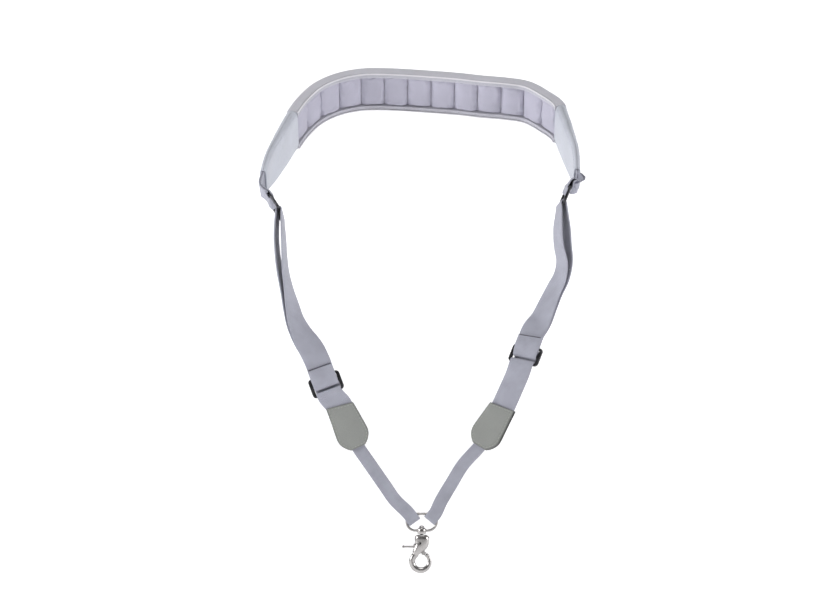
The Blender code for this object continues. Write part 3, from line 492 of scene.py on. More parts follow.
def new_piece(name, points, faces, finish, uvs=None, edge=None):
    """A smooth mesh piece from world points, with a place in metres for each point's texture."""
    mesh = bpy.data.meshes.new(name)
    mesh.from_pydata([tuple(point) for point in np.asarray(points, float)], [], faces)
    work = bmesh.new()
    work.from_mesh(mesh)
    bmesh.ops.recalc_face_normals(work, faces=work.faces)
    work.to_mesh(mesh)
    work.free()
    mesh.shade_smooth()
    mesh.set_sharp_from_angle(angle=math.radians(50))
    if uvs is not None:
        corner = np.empty(len(mesh.loops), np.int32)
        mesh.loops.foreach_get("vertex_index", corner)
        layer = mesh.uv_layers.new(name="cloth")
        layer.data.foreach_set("uv", np.asarray(uvs, np.float32)[corner].ravel())
    if edge is not None:
        mesh.attributes.new("edge", "FLOAT", "POINT").data.foreach_set("value", np.asarray(edge, np.float32))
    mesh.materials.append(finish)
    piece = bpy.data.objects.new(name, mesh)
    bpy.context.scene.collection.objects.link(piece)
    return piece


def skin(rings, closed=False, first=0):
    """Quads over rings of equal size, with end faces unless it is closed."""
    rows, size = rings.shape[:2]
    faces = []
    for row in range(rows if closed else rows - 1):
        here, there = first + row * size, first + (row + 1) % rows * size
        faces += [(here + s, here + (s + 1) % size, there + (s + 1) % size, there + s) for s in range(size)]
    if not closed:
        last = first + (rows - 1) * size
        faces += [tuple(range(first, first + size)), tuple(range(last, last + size))]
    return faces


def lofted(name, rings, finish, uvs=None, closed=False):
    """A piece over rings of points."""
    rings = np.asarray(rings, float)
    flat = None if uvs is None else np.asarray(uvs).reshape(-1, 2)
    return new_piece(name, rings.reshape(-1, 3), skin(rings, closed), finish, flat)


def rounded(corners, radii, count=6):
    """A polygon with its corners rounded off."""
    corners = np.asarray(corners, float)
    made = []
    neighbours = np.roll(corners, 1, axis=0), corners, np.roll(corners, -1, axis=0)
    for before, here, after, radius in zip(*neighbours, radii):
        if not radius:
            made.append(here)
            continue
        start = here + radius * unit(before - here)
        end = here + radius * unit(after - here)
        for part in np.linspace(0, 1, count):
            made.append((1 - part)**2 * start + 2 * part * (1 - part) * here + part**2 * end)
    return np.array(made)


def divided(section, longest):
    """The closed section with its long edges divided."""
    made = []
    for here, after in zip(section, np.roll(section, -1, axis=0)):
        parts = max(1, math.ceil(np.linalg.norm(after - here) / longest))
        made += [here + (after - here) * part / parts for part in range(parts)]
    return np.array(made)


def pad_sweep(name, section, start, end, finish, step=0.002):
    """A section along the pad, smooth."""
    section = divided(np.asarray(section, float), 0.004)
    stations = np.linspace(start, end, round((end - start) / step) + 1)
    rings = on_pad(stations[:, None], section[None, :, 0], section[None, :, 1])
    uvs = np.stack(np.meshgrid(stations, distances(section), indexing="ij"), axis=-1)
    return lofted(name, rings, finish, uvs)


def rod(name, path, radius, finish, up, sides=20, closed=False):
    """A smooth round rod along a path; up is any direction that the path never follows."""
    path = np.asarray(path, float)
    radius = np.broadcast_to(radius, len(path))
    along = unit(np.roll(path, -1, axis=0) - np.roll(path, 1, axis=0)) if closed else tangents(path)
    one = square(np.broadcast_to(up, path.shape), along)
    two = np.cross(along, one)
    turns = np.linspace(0, 2 * math.pi, sides, endpoint=False)
    rings = [p + r * (np.cos(turns)[:, None] * a + np.sin(turns)[:, None] * b)
             for p, r, a, b in zip(path, radius, one, two)]
    return lofted(name, rings, finish, closed=closed)


def strip(runs, name, width, thickness, finish, crown=0.0):
    """Woven webbing: one closed strip along each run of (path, face, start), with rounded edges."""
    half, bevel = width / 2, thickness / 2
    turns = np.linspace(math.pi / 2, -math.pi / 2, 5)
    right = [(half - bevel + bevel * math.cos(t), bevel * math.sin(t)) for t in turns]
    over = [(a, bevel) for a in np.linspace(-half + bevel, half - bevel, 13)[1:-1]]
    section = np.array(over + right + [(-a, -b) for a, b in over] + [(-a, -b) for a, b in right])
    points, faces, uvs = [], [], []
    for path, face, start in runs:
        along = tangents(path)
        out = square(face, along)
        across = np.cross(out, along)
        swell = crown * (1 - (section[:, 0] / half)**2)
        rings = (path[:, None] + section[None, :, :1] * across[:, None]
                 + (section[:, 1] + swell)[None, :, None] * out[:, None])
        faces += skin(rings, first=len(points))
        points += list(rings.reshape(-1, 3))
        reach = start + distances(path)
        uvs += [(a, r) for r in reach for a in section[:, 0]]
    return new_piece(name, points, faces, finish, uvs)


def stitches(name, rows, finish, length=0.0024, pause=0.0011, radius=0.00030):
    """Rows of sewn stitches, each row a path with the directions its surface faces."""
    profile = np.array((0.15, 0.75, 1.0, 1.0, 0.75, 0.15))
    turns = np.linspace(0, 2 * math.pi, 7)[:-1]
    one, two = np.cos(turns)[None, :, None], np.sin(turns)[None, :, None]
    points, faces = [], []
    for path, facing in rows:
        path, facing = np.asarray(path, float), np.broadcast_to(np.asarray(facing, float), np.shape(path))
        reach = distances(path)
        count = int((reach[-1] + pause) / (length + pause))
        for first in np.linspace(0, reach[-1] - length, max(count, 1)):
            places = first + length * np.array((0.0, 0.08, 0.3, 0.7, 0.92, 1.0))
            line = np.stack([np.interp(places, reach, column) for column in path.T], axis=1)
            out = unit(np.stack([np.interp(places, reach, column) for column in facing.T], axis=1))
            along = unit(line[-1] - line[0])
            out = square(out, along)
            line = line + (radius * (profile - 0.75))[:, None] * out
            across = np.cross(along, out)
            spokes = one * out[:, None] + two * across[:, None]
            rings = line[:, None] + (radius * profile)[:, None, None] * spokes
            faces += skin(rings, first=len(points))
            points += list(rings.reshape(-1, 3))
    return new_piece(name, points, faces, finish)


def combined(piece, tool, operation):
    """The piece after an applied Boolean with a tool, which is removed."""
    change = piece.modifiers.new("cut", "BOOLEAN")
    change.operation, change.object, change.solver = operation, tool, "EXACT"
    bpy.context.view_layer.update()
    mesh = bpy.data.meshes.new_from_object(piece.evaluated_get(bpy.context.evaluated_depsgraph_get()))
    piece.modifiers.clear()
    piece.data = mesh
    mesh.shade_smooth()
    mesh.set_sharp_from_angle(angle=math.radians(32))
    bpy.data.objects.remove(tool)
    return piece


def placed(piece, body, slot, *nodes):
    """The piece rides on its body and stands for its CAD nodes, which it hides; the slot is not used."""
    if nodes:
        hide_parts(*nodes)
    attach(piece, body)
    return piece


# Materials ---


class Finish:
    """A Principled material with short calls for its nodes."""

    def __init__(self, name, roughness, metallic=0.0, **numbers):
        self.made = bpy.data.materials.new(name)
        self.made.use_nodes = True
        self.tree = self.made.node_tree
        self.shader = self.tree.nodes["Principled BSDF"]
        self.shader.inputs["Roughness"].default_value = roughness
        self.shader.inputs["Metallic"].default_value = metallic
        for key, value in numbers.items():
            self.shader.inputs[key.replace("_", " ")].default_value = value

    def node(self, kind, **settings):
        made = self.tree.nodes.new(f"ShaderNode{kind}")
        for key, value in settings.items():
            setattr(made, key, value)
        return made

    def link(self, value, socket):
        if isinstance(value, (int, float)):
            socket.default_value = value
        elif isinstance(value, tuple):
            socket.default_value = (*value, 1.0)
        else:
            self.tree.links.new(value, socket)

    def math(self, operation, one, two=0.0):
        made = self.node("Math", operation=operation)
        self.link(one, made.inputs[0])
        self.link(two, made.inputs[1])
        return made.outputs[0]

    def times(self, one, two):
        return self.math("MULTIPLY", one, two)

    def plus(self, one, two):
        return self.math("ADD", one, two)

    def wave(self, value, pitch):
        return self.math("SINE", self.times(value, math.pi / pitch))

    def ridges(self, value, pitch):
        """Round ridges, one for each pitch."""
        return self.math("ABSOLUTE", self.wave(value, pitch))

    def place(self, uv=False):
        """Coordinates in metres: the object's own, or those sewn to the cloth."""
        if uv:
            return self.node("UVMap", uv_map="cloth").outputs["UV"]
        return self.node("TexCoord").outputs["Object"]

    def parts(self, vector):
        made = self.node("SeparateXYZ")
        self.link(vector, made.inputs[0])
        return made.outputs

    def stretched(self, vector, scale):
        made = self.node("Mapping")
        self.link(vector, made.inputs["Vector"])
        made.inputs["Scale"].default_value = scale
        return made.outputs[0]

    def noise(self, vector, scale, detail=3.0, rough=0.5):
        made = self.node("TexNoise")
        self.link(vector, made.inputs["Vector"])
        made.inputs["Scale"].default_value = scale
        made.inputs["Detail"].default_value = detail
        made.inputs["Roughness"].default_value = rough
        return made.outputs["Fac"]

    def cells(self, vector, scale):
        made = self.node("TexVoronoi", feature="DISTANCE_TO_EDGE")
        self.link(vector, made.inputs["Vector"])
        made.inputs["Scale"].default_value = scale
        return made.outputs["Distance"]

    def ramp(self, value, low, high, start=0.0, end=1.0):
        """A number taken from start..end to low..high."""
        made = self.node("MapRange")
        self.link(value, made.inputs["Value"])
        for key, number in (("From Min", start), ("From Max", end), ("To Min", low), ("To Max", high)):
            made.inputs[key].default_value = number
        return made.outputs[0]

    def mix(self, share, one, two):
        made = self.node("Mix", data_type="RGBA")
        self.link(share, made.inputs["Factor"])
        self.link(one, made.inputs["A"])
        self.link(two, made.inputs["B"])
        return made.outputs["Result"]

    def colour(self, value):
        self.link(value, self.shader.inputs["Base Color"])

    def rough(self, value):
        self.link(value, self.shader.inputs["Roughness"])

    def bump(self, height, distance, strength=1.0, before=None):
        made = self.node("Bump")
        made.inputs["Distance"].default_value = distance
        made.inputs["Strength"].default_value = strength
        self.link(height, made.inputs["Height"])
        if before is not None:
            self.link(before, made.inputs["Normal"])
        self.link(made.outputs["Normal"], self.shader.inputs["Normal"])
        return made.outputs["Normal"]


def tone(colour, factor):
    """A lighter or darker colour."""
    return tuple(min(1.0, part * factor) for part in colour)


def webbing_finish(name, colour, rib, warp):
    """Woven webbing: ribs across, warp threads along, and a little wear."""
    finish = Finish(name, 0.82, Sheen_Weight=0.25, Sheen_Roughness=0.4, Specular_IOR_Level=0.3)
    place = finish.place(uv=True)
    across, along, _ = finish.parts(place)
    step = finish.times(finish.ridges(across, 4 * warp), 0.55 * rib)
    ribs = finish.ridges(finish.plus(along, step), rib)
    threads = finish.ridges(across, warp)
    height = finish.plus(finish.times(ribs, 0.6), finish.times(threads, 0.4))
    fuzz = finish.noise(finish.place(), 2600, 2.0)
    height = finish.plus(height, finish.times(fuzz, 0.35))
    finish.bump(height, 0.00022, 0.75)
    patches = finish.noise(finish.place(), 55, 4.0, 0.6)
    # Painted shade: the colour is darker in the hollows of the weave's bump and lighter on its ribs; the
    # patches add tone that differs at random.
    shade = finish.ramp(height, 0.0, 0.62, 0.2, 1.2)
    shade = finish.plus(shade, finish.ramp(patches, -0.12, 0.28, 0.3, 0.7))
    finish.colour(finish.mix(shade, tone(colour, 0.72), tone(colour, 1.22)))
    finish.rough(finish.ramp(patches, 0.74, 0.9, 0.3, 0.7))
    return finish.made


def cloth_finish(name, colour, pitch, roughness=0.75, shine=0.2, uv=True):
    """Fine plain-woven cloth."""
    finish = Finish(name, roughness, Sheen_Weight=shine, Sheen_Roughness=0.45, Specular_IOR_Level=0.35)
    place = finish.place(uv)
    one, two, _ = finish.parts(place)
    wave = [finish.wave(value, pitch) for value in (one, two)]
    weave = finish.ramp(finish.times(*wave), 0.0, 1.0, -1.0, 1.0)
    fuzz = finish.noise(finish.place(), 1900, 3.0)
    height = finish.plus(weave, finish.times(fuzz, 0.6))
    soft = finish.noise(finish.place(), 120, 3.0)
    finish.bump(height, 0.00010, 0.6, finish.bump(soft, 0.0012, 0.25))
    patches = finish.noise(finish.place(), 38, 4.0, 0.55)
    # Painted shade: the colour is darker in the hollows of the weave's bump; the patches add tone that
    # differs at random.
    shade = finish.plus(finish.ramp(height, 0.1, 0.6, 0.0, 1.6), finish.ramp(patches, -0.12, 0.2, 0.3, 0.7))
    finish.colour(finish.mix(shade, tone(colour, 0.80), tone(colour, 1.14)))
    finish.rough(finish.ramp(patches, roughness - 0.07, roughness + 0.07, 0.3, 0.7))
    return finish.made


def leather_finish(name, colour, grain, depth, roughness, worn=False, crease=0.0):
    """Leather: pebbled grain, soft patches, faint creases, and burnished edges where it is sewn."""
    finish = Finish(name, roughness, Specular_IOR_Level=0.4, Sheen_Weight=0.12)
    place = finish.place()
    pebbles = finish.ramp(finish.cells(place, grain), 0.0, 1.0, 0.0, 0.28)
    fine = finish.noise(place, grain * 2.6, 4.0, 0.6)
    height = finish.plus(pebbles, finish.times(fine, 0.7))
    folds = finish.noise(finish.stretched(place, (0.5, 1.0, 1.6)), 95, 3.0, 0.55)
    base = finish.bump(folds, 0.0011, 0.25 + crease)
    finish.bump(height, depth, 0.7, base)
    patches = finish.noise(place, 42, 5.0, 0.6)
    # Painted shade: the colour is darker in the grain's hollows and lighter on the pebbles; the patches add
    # tone that differs at random.
    shade = finish.plus(finish.ramp(height, 0.15, 0.55, 0.2, 1.6), finish.ramp(patches, -0.14, 0.2, 0.3, 0.7))
    made = finish.mix(shade, tone(colour, 0.80), tone(colour, 1.14))
    if worn:
        edge = finish.node("Attribute", attribute_name="edge").outputs["Fac"]
        made = finish.mix(finish.ramp(edge, 0.85, 0.0, 0.0, 1.0), made, tone(colour, 0.35))
    finish.colour(made)
    finish.rough(finish.ramp(patches, roughness - 0.08, roughness + 0.08, 0.3, 0.7))
    return finish.made


def metal_finish(name, colour, roughness, wear, metallic=1.0):
    """Plated metal: uneven polish, fine scratches, dull patches and painted shade that darkens its crevices.
    """
    finish = Finish(name, roughness, metallic)
    place = finish.place()
    patches = finish.noise(place, 160, 4.0, 0.6)
    lines = finish.noise(finish.stretched(place, (1.0, 1.0, 9.0)), 900, 3.0, 0.7)
    finish.bump(lines, 0.00003, 0.35, finish.bump(patches, 0.0004, 0.12))
    shade = finish.ramp(patches, 0.0, 1.0, 0.35, 0.68)
    polish = finish.mix(shade, tone(colour, 1 - wear), tone(colour, 1 + wear))
    # Painted shade: ambient occlusion darkens the colour towards near black in crevices, gaps and hollows.
    occlusion_shade = finish.node("AmbientOcclusion")
    occlusion_shade.inputs["Distance"].default_value = 0.0035
    unshaded_share = finish.ramp(occlusion_shade.outputs["AO"], 0.0, 1.0, 0.25, 0.80)
    finish.colour(finish.mix(unshaded_share, tone(colour, 0.08), polish))
    finish.rough(finish.ramp(finish.plus(patches, finish.times(lines, 0.5)),
                             roughness - 0.08, roughness + 0.14, 0.4, 1.0))
    return finish.made


def thread_finish(name, colour):
    """Twisted sewing thread."""
    finish = Finish(name, 0.6, Sheen_Weight=0.3)
    place = finish.place()
    twist = finish.noise(finish.stretched(place, (1.0, 1.0, 1.4)), 3200, 2.0)
    finish.bump(twist, 0.00008, 0.6)
    # Painted shade: the colour follows the twist's bump and is darker in its hollows.
    finish.colour(finish.mix(twist, tone(colour, 0.8), tone(colour, 1.2)))
    return finish.made


def make_finishes():
    """Every material, by its slot in the record."""
    return {
        "air_cell_skin": cloth_finish("air_cell_skin", COLOURS["cell"], 0.00042, 0.56, 0.15),
        "end_tab_leather": leather_finish("end_tab_leather", COLOURS["tab"], 950, 0.00010, 0.44, crease=0.35),
        "shell_cloth": cloth_finish("shell_cloth", COLOURS["shell"], 0.00050, 0.74, 0.25),
        "rim_cloth": cloth_finish("rim_cloth", COLOURS["rim"], 0.00050, 0.66, 0.2),
        "piping": cloth_finish("piping", COLOURS["piping"], 0.00050, 0.5, 0.2),
        "foam": cloth_finish("foam", (0.05, 0.05, 0.055), 0.0009, 0.95, 0.0, uv=False),
        "webbing": webbing_finish("webbing", COLOURS["web"], 0.00125, 0.00090),
        "narrow_webbing": webbing_finish("narrow_webbing", COLOURS["narrow"], 0.00105, 0.00080),
        "sage_leather": leather_finish("sage_leather", COLOURS["sage"], 1300, 0.00014, 0.72, worn=True),
        "gunmetal": metal_finish("gunmetal", COLOURS["gunmetal"], 0.30, 0.45, 0.9),
        "nickel": metal_finish("nickel", COLOURS["nickel"], 0.22, 0.10),
        "rivet_steel": metal_finish("rivet_steel", (0.10, 0.10, 0.10), 0.40, 0.3),
        "spring_steel": metal_finish("spring_steel", (0.42, 0.42, 0.43), 0.35, 0.2),
        "pad_thread": thread_finish("pad_thread", COLOURS["pad_thread"]),
        "tab_thread": thread_finish("tab_thread", COLOURS["tab_thread"]),
        "sage_thread": thread_finish("sage_thread", COLOURS["sage_thread"]),
        "web_thread": thread_finish("web_thread", COLOURS["web_thread"]),
        # The near-black cord at the tail's cut end is painted shadow, shaded as thread.
        "painted_end_shadow": thread_finish("painted_end_shadow", COLOURS["painted_end_shadow"]),
    }


COLOURS = {
    "cell": (0.44, 0.43, 0.52), "tab": (0.52, 0.54, 0.605), "shell": (0.53, 0.525, 0.575),
    "rim": (0.50, 0.495, 0.55), "piping": (0.76, 0.75, 0.79), "web": (0.375, 0.38, 0.445),
    "narrow": (0.355, 0.36, 0.42), "sage": (0.288, 0.297, 0.283), "gunmetal": (0.055, 0.055, 0.06),
    "nickel": (0.42, 0.405, 0.40), "pad_thread": (0.42, 0.42, 0.48), "tab_thread": (0.50, 0.51, 0.58),
    "sage_thread": (0.36, 0.375, 0.34), "web_thread": (0.30, 0.30, 0.36),
    # The last colour, near black, is painted shadow for the cord at the tail's cut end.
    "painted_end_shadow": (0.07, 0.07, 0.09),
}


# Neck pad ---


def make_pad(finishes):
    """Shell, rim, piping and their stitching."""
    first, last = PAD_START - END_RIM, PAD_END + END_RIM
    outer, inner = PAD_HALF_THICKNESS, PAD_HALF_THICKNESS - SHELL_WALL
    high, low = PAD_HALF_WIDTH, PAD_HALF_WIDTH - SHELL_WALL
    mouth = -outer + PIPING_RADIUS + GAP
    corners = [(outer, -high), (outer, high), (mouth, high), (mouth, low),
               (inner, low), (inner, -low), (mouth, -low), (mouth, -high)]
    section = rounded(corners, (0.0042, 0.0042, 0.0008, 0.0006, 0, 0, 0.0006, 0.0008), 8)
    piece = pad_sweep("shell_cover", section, first, last, finishes["shell_cloth"])
    placed(piece, "strap_root", "shell_cloth", "pad_outer_shell")
    for name, low_out, high_out, slot in (("pad_foam_core", CORE_IN, inner - GAP, "foam"),
                                          ("pad_cell_backing", BACKING_IN, CORE_IN - GAP, "shell_cloth")):
        corners = [(low_out, -LIP_HALF_OUT), (high_out, -LIP_HALF_OUT),
                   (high_out, LIP_HALF_OUT), (low_out, LIP_HALF_OUT)]
        section = rounded(corners, (0.0003, 0.0003, 0.0003, 0.0003), 3)
        placed(pad_sweep(f"smooth_{name}", section, first, last, finishes[slot]), "strap_root", slot, name)
    rows = []
    for side, name in ((1, "upper"), (-1, "lower")):
        top = -PAD_HALF_THICKNESS
        foot = BACKING_IN - GAP
        lip = [(foot, LIP_HALF_OUT), (top, LIP_HALF_OUT), (top, LIP_HALF_IN), (foot, LIP_HALF_IN)]
        lip = rounded([(out, side * up) for out, up in lip], (0, 0.0011, 0.0007, 0), 6)
        piece = pad_sweep(f"rim_{name}", lip, first, last, finishes["rim_cloth"])
        placed(piece, "strap_root", "rim_cloth", f"pad_lip_{name}")
        turns = np.linspace(0, 2 * math.pi, 14, endpoint=False)
        cord = np.stack((np.cos(turns), np.sin(turns)), axis=1) * PIPING_RADIUS + (top, side * PIPING_UP)
        piece = pad_sweep(f"piping_cord_{name}", cord, first, last, finishes["piping"])
        placed(piece, "strap_root", "piping", f"pad_piping_{name}")
        reach = np.linspace(first + 0.002, last - 0.002, 200)
        path = on_pad(reach, top, side * (LIP_HALF_OUT - 0.0017))
        edge = side * LIP_HALF_OUT
        rows.append((path, on_pad(reach, top - 0.01, edge) - on_pad(reach, top, edge)))
        path = on_pad(reach, outer + 0.0001, side * (high - 0.0062))
        rows.append((path, path - on_pad(reach, 0.0, side * (high - 0.0062))))
    placed(stitches("pad_stitching", rows, finishes["pad_thread"]), "strap_root", "rim_cloth")


CELL_EDGE_SHARE = 0.62  # of the crown's height that a cell keeps where it meets the rim
CLOTH_SCALE = 10  # the pillows are simulated at this size
CLOTH_FRAMES = 20
CLOTH_START = 0.88  # share of its height that a pillow has before Cloth fills it
CLOTH_REACH = 0.0085  # furthest that Cloth may move a point, at the simulated size
PILLOW_SEEDS = (3, 5, 8)


def cell_grid(count_along=17, count_up=23):
    """A flat-based pillow at CLOTH_SCALE: its points, its faces and how many points its top has."""
    half = np.array((PAD_LENGTH / CELL_COUNT / 2 - GAP / 2, CELL_HALF_HEIGHT))
    even = [np.sin(np.linspace(-math.pi / 2, math.pi / 2, count)) for count in (count_along, count_up)]
    one, two = np.meshgrid(*even, indexing="ij")
    to_rim = CELL_EDGE_SHARE + (1 - CELL_EDGE_SHARE) * (1 - np.abs(two)**5)**0.6
    swell = (1 - np.abs(one)**2.6)**0.62 * to_rim
    low, high = BACKING_IN - GAP - 0.0003, CELL_CROWN_OUT
    height = low + CLOTH_START * (high - low) * swell
    layers = []
    for out in (height, np.full_like(height, BACKING_IN - GAP)):
        layers.append(np.stack((one * half[0], two * half[1], out), axis=-1).reshape(-1, 3))
    points = CLOTH_SCALE * np.vstack(layers)
    size = count_along * count_up
    faces = []
    for i in range(count_along - 1):
        for j in range(count_up - 1):
            here = i * count_up + j
            quad = (here, here + 1, here + count_up + 1, here + count_up)
            faces += [quad, tuple(size + corner for corner in quad[::-1])]
    border = list(range(count_up)) + [i * count_up + count_up - 1 for i in range(1, count_along)]
    border += [(count_along - 1) * count_up + j for j in range(count_up - 2, -1, -1)]
    border += [i * count_up for i in range(count_along - 2, 0, -1)]
    for here, after in zip(border, border[1:] + border[:1]):
        faces.append((here, after, size + after, size + here))
    return points, faces, size


def swollen(points, faces, size, seed):
    """The pillow after Cloth has filled it with air, back at its own size."""
    rng = np.random.default_rng(seed)
    start = points.copy()
    start[:size, 2] += rng.normal(0, 0.0005, size)
    mesh = bpy.data.meshes.new("pillow")
    mesh.from_pydata([tuple(point) for point in start], [], faces)
    piece = bpy.data.objects.new("pillow", mesh)
    bpy.context.scene.collection.objects.link(piece)
    held = piece.vertex_groups.new(name="held")
    held.add(list(range(size, len(points))), 1.0, "REPLACE")
    cloth = piece.modifiers.new("cloth", "CLOTH")
    cloth.settings.vertex_group_mass = "held"
    cloth.settings.use_pressure = True
    cloth.settings.uniform_pressure_force = -4.0
    cloth.settings.effector_weights.gravity = 0.0
    cloth.settings.shrink_min = -0.05
    cloth.settings.quality = 6
    cloth.settings.bending_stiffness = 0.2
    cloth.point_cache.frame_end = CLOTH_FRAMES
    scene = bpy.context.scene
    for number in range(1, CLOTH_FRAMES + 1):
        scene.frame_set(number)
    graph = bpy.context.evaluated_depsgraph_get()
    result = piece.evaluated_get(graph).data
    moved = np.empty(len(points) * 3)
    result.vertices.foreach_get("co", moved)
    moved = moved.reshape(-1, 3)
    scene.frame_set(1)
    bpy.data.objects.remove(piece)
    shift = moved - points
    far = np.linalg.norm(shift, axis=1, keepdims=True)
    return (points + shift * np.minimum(1.0, CLOTH_REACH / np.maximum(far, 1e-9))) / CLOTH_SCALE


def make_cells(finishes):
    """Thirteen air-filled pillows between the rims."""
    points, faces, size = cell_grid()
    kinds = [swollen(points, faces, size, seed) for seed in PILLOW_SEEDS]
    pitch = PAD_LENGTH / CELL_COUNT
    half_along = (pitch - GAP) / 2
    for index in range(CELL_COUNT):
        local = kinds[index % len(kinds)]
        along = np.clip(local[:, 0], -half_along, half_along)
        up = np.clip(local[:, 1], -CELL_HALF_HEIGHT, CELL_HALF_HEIGHT)
        out = np.clip(local[:, 2], CELL_CROWN_OUT - 0.0006, BACKING_IN - GAP)
        world = on_pad(PAD_START + (index + 0.5) * pitch + along, out, up)
        uvs = np.stack((along + index * pitch, up), axis=1)
        piece = new_piece(f"cell_{index + 1:02d}", world, faces, finishes["air_cell_skin"], uvs)
        soft = piece.modifiers.new("soft", "SUBSURF")
        soft.levels = soft.render_levels = 1
        placed(piece, "strap_root", "air_cell_skin", f"air_cell_{index + 1:02d}")


def make_end_tabs(side, finishes):
    """The two sewn covers of one end tab, with their rows of stitching."""
    root, tip = (PAD_START - END_RIM - GAP, 0.0) if side == "left" else (PAD_END + END_RIM + GAP, TIP_END)
    share = np.sin(np.linspace(-math.pi / 2, math.pi / 2, 33))
    dome = (1 - np.abs(share)**6)**(1 / 2.6)
    places = np.linspace(0, 1, 60)
    halves = refined(TAB_HALF_WIDTH, 0.01, dims=1)
    thick = refined(TAB_HALF_THICKNESS, 0.01, dims=1)
    half = np.interp(places, *halves.T)[:, None]
    rise = np.interp(places, *thick.T)[:, None]
    reach = (root + (tip - root) * places)[:, None]
    rim = GAP / 2
    rows = []
    for layer, sign in (("outer", 1), ("inner", -1)):
        soft = 1 + 0.05 * np.sin(7.0 * places + sign)[:, None] * (1 - share**2)[None]
        out = rim + (rise - rim) * dome * soft
        up = half * share
        channel = TAB_CHANNEL_HALF
        back_up = np.array((channel + 0.0003, channel, -channel, -channel - 0.0003))
        back_out = np.array((rim, TAB_CHANNEL_OUT, TAB_CHANNEL_OUT, rim))
        count = len(places)
        out = np.hstack((out, np.tile(back_out, (count, 1))))
        up = np.hstack((up, np.tile(back_up, (count, 1))))
        rings = on_pad(reach, sign * out, up)
        piece = lofted(f"tab_cover_{layer}_{side}", rings, finishes["end_tab_leather"])
        placed(piece, "strap_root", "end_tab_leather", f"end_tab_{layer}_{side}")
        inset = np.linspace(0.03, 0.975, 80)
        line_half = np.interp(inset, *halves.T) - 0.0027
        line_share = line_half / np.interp(inset, *halves.T)
        line_out = rim + (np.interp(inset, *thick.T) - rim) * (1 - line_share**6)**(1 / 2.6)
        for hand in (1, -1):
            line = root + (tip - root) * inset
            path = on_pad(line, sign * (line_out + 0.0001), hand * line_half)
            rows.append((path, path - on_pad(line, 0.0, hand * line_half)))
    sewn = stitches(f"tab_stitching_{side}", rows, finishes["tab_thread"], 0.0026, 0.0012, 0.00026)
    placed(sewn, "strap_root", "end_tab_leather")


# Straps ---


def make_pad_webbing(side, ring, finishes):
    """The pad's webbing loop round its ring, smooth."""
    path, face = pad_loop_path(side, ring)
    rows = refined(np.hstack((path, face)), 0.0009)
    run = (rows[:, :3], rows[:, 3:], 0.0)
    piece = strip([run], f"pad_loop_{side}", WEB_WIDTH, WEB_THICK, finishes["webbing"])
    placed(piece, "strap_root", "webbing", f"pad_webbing_loop_{side}")


FULL_WIDTH = WEB_WIDTH + 0.0007  # the woven edges fill the slider's slots
CUT_Z = {"left": -0.190, "right": -0.180}  # where the piece at the slider meets the piece at the ring


def make_strap(side, finishes):
    """One strap in three pieces, from the tab to the slider, at the slider, and up round its ring, with the
    tail's stitching.
    """
    path, face = strap_path(side)
    rows = refined(np.hstack((path, face)), 0.0009)
    points, facing = rows[:, :3], rows[:, 3:]
    reach = distances(points)
    data = SIDES[side]
    slider, up = np.array(data["slider"]), unit(data["up"])
    height = (points - slider) @ up
    top = int(np.argmax(points[:, 2]))
    rising, falling = np.arange(len(points)) <= top, np.arange(len(points)) > top
    entry = np.where(rising & (height > 0.0100))[0][0]
    cut_up = np.where(rising & (points[:, 2] > CUT_Z[side]) & (reach > reach[entry]))[0][0]
    cut_down = np.where(falling & (points[:, 2] < CUT_Z[side]))[0][0]

    def run(first, last):
        return points[first:last], facing[first:last], reach[first]

    node = f"strap_webbing_{side}"
    parts = {
        "low": [run(0, entry + 1)],
        "mid": [run(entry, cut_up + 1), run(cut_down, None)],
        "high": [run(cut_up, cut_down + 1)],
    }
    low, slid, high = (strip(runs, f"strap_{part}_{side}", FULL_WIDTH, WEB_THICK, finishes["webbing"])
                       for part, runs in parts.items())
    # Painted shadow: a near-black cord along the tail's cut end stands for the shadow line there.
    along = tangents(points)
    across = np.cross(unit(facing[-1]), along[-1])
    middle = points[-1] - 0.0004 * along[-1]
    edge = [middle + step * (WEB_WIDTH / 2 - 0.0005) * across for step in np.linspace(-1, 1, 25)]
    end_shadow_rod = rod(f"tail_end_shadow_rod_{side}", edge, WEB_THICK / 2 + 0.00015, finishes["painted_end_shadow"], facing[-1], 10)
    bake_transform(end_shadow_rod)
    for piece in (low, slid, high):
        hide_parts(node)
    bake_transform(low)
    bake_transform(slid)
    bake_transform(high)
    front = side_front(side, up)
    across = np.cross(up, front)
    cover = BAR_TURN + 2 * LAYER_PITCH + 1.4 * WEB_THICK
    rows = []
    for height in (0.0138, 0.0196):
        middle = slider + height * up + (cover + 0.0001) * front
        rows.append((np.array([middle + step * across for step in (-0.0102, 0.0, 0.0102)]), front))
    sewn = stitches(f"tail_stitching_{side}", rows, finishes["web_thread"], 0.0022, 0.0010, 0.00026)
    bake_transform(sewn)


def make_rings(side, ring, finishes):
    """One rectangular ring, smooth."""
    half = (RING_INSIDE / 2 + RING_WIRE, RING_PITCH / 2)
    middle = (ring["upper"] + ring["lower"]) / 2
    path = []
    for across, down, start in ((1, 1, 0), (-1, 1, 90), (-1, -1, 180), (1, -1, 270)):
        corner = np.array((across * (half[0] - RING_CORNER), down * (half[1] - RING_CORNER)))
        for angle in np.radians(np.linspace(start, start + 90, 13)):
            one, two = corner + RING_CORNER * np.array((math.cos(angle), math.sin(angle)))
            path.append(middle + one * ring["bar"] + two * ring["down"])
    normal = np.cross(ring["bar"], ring["down"])
    piece = rod(f"ring_wire_{side}", path, RING_WIRE, finishes["gunmetal"], normal, 24, closed=True)
    placed(piece, f"ring_{side}", "gunmetal", f"pad_ring_{side}")


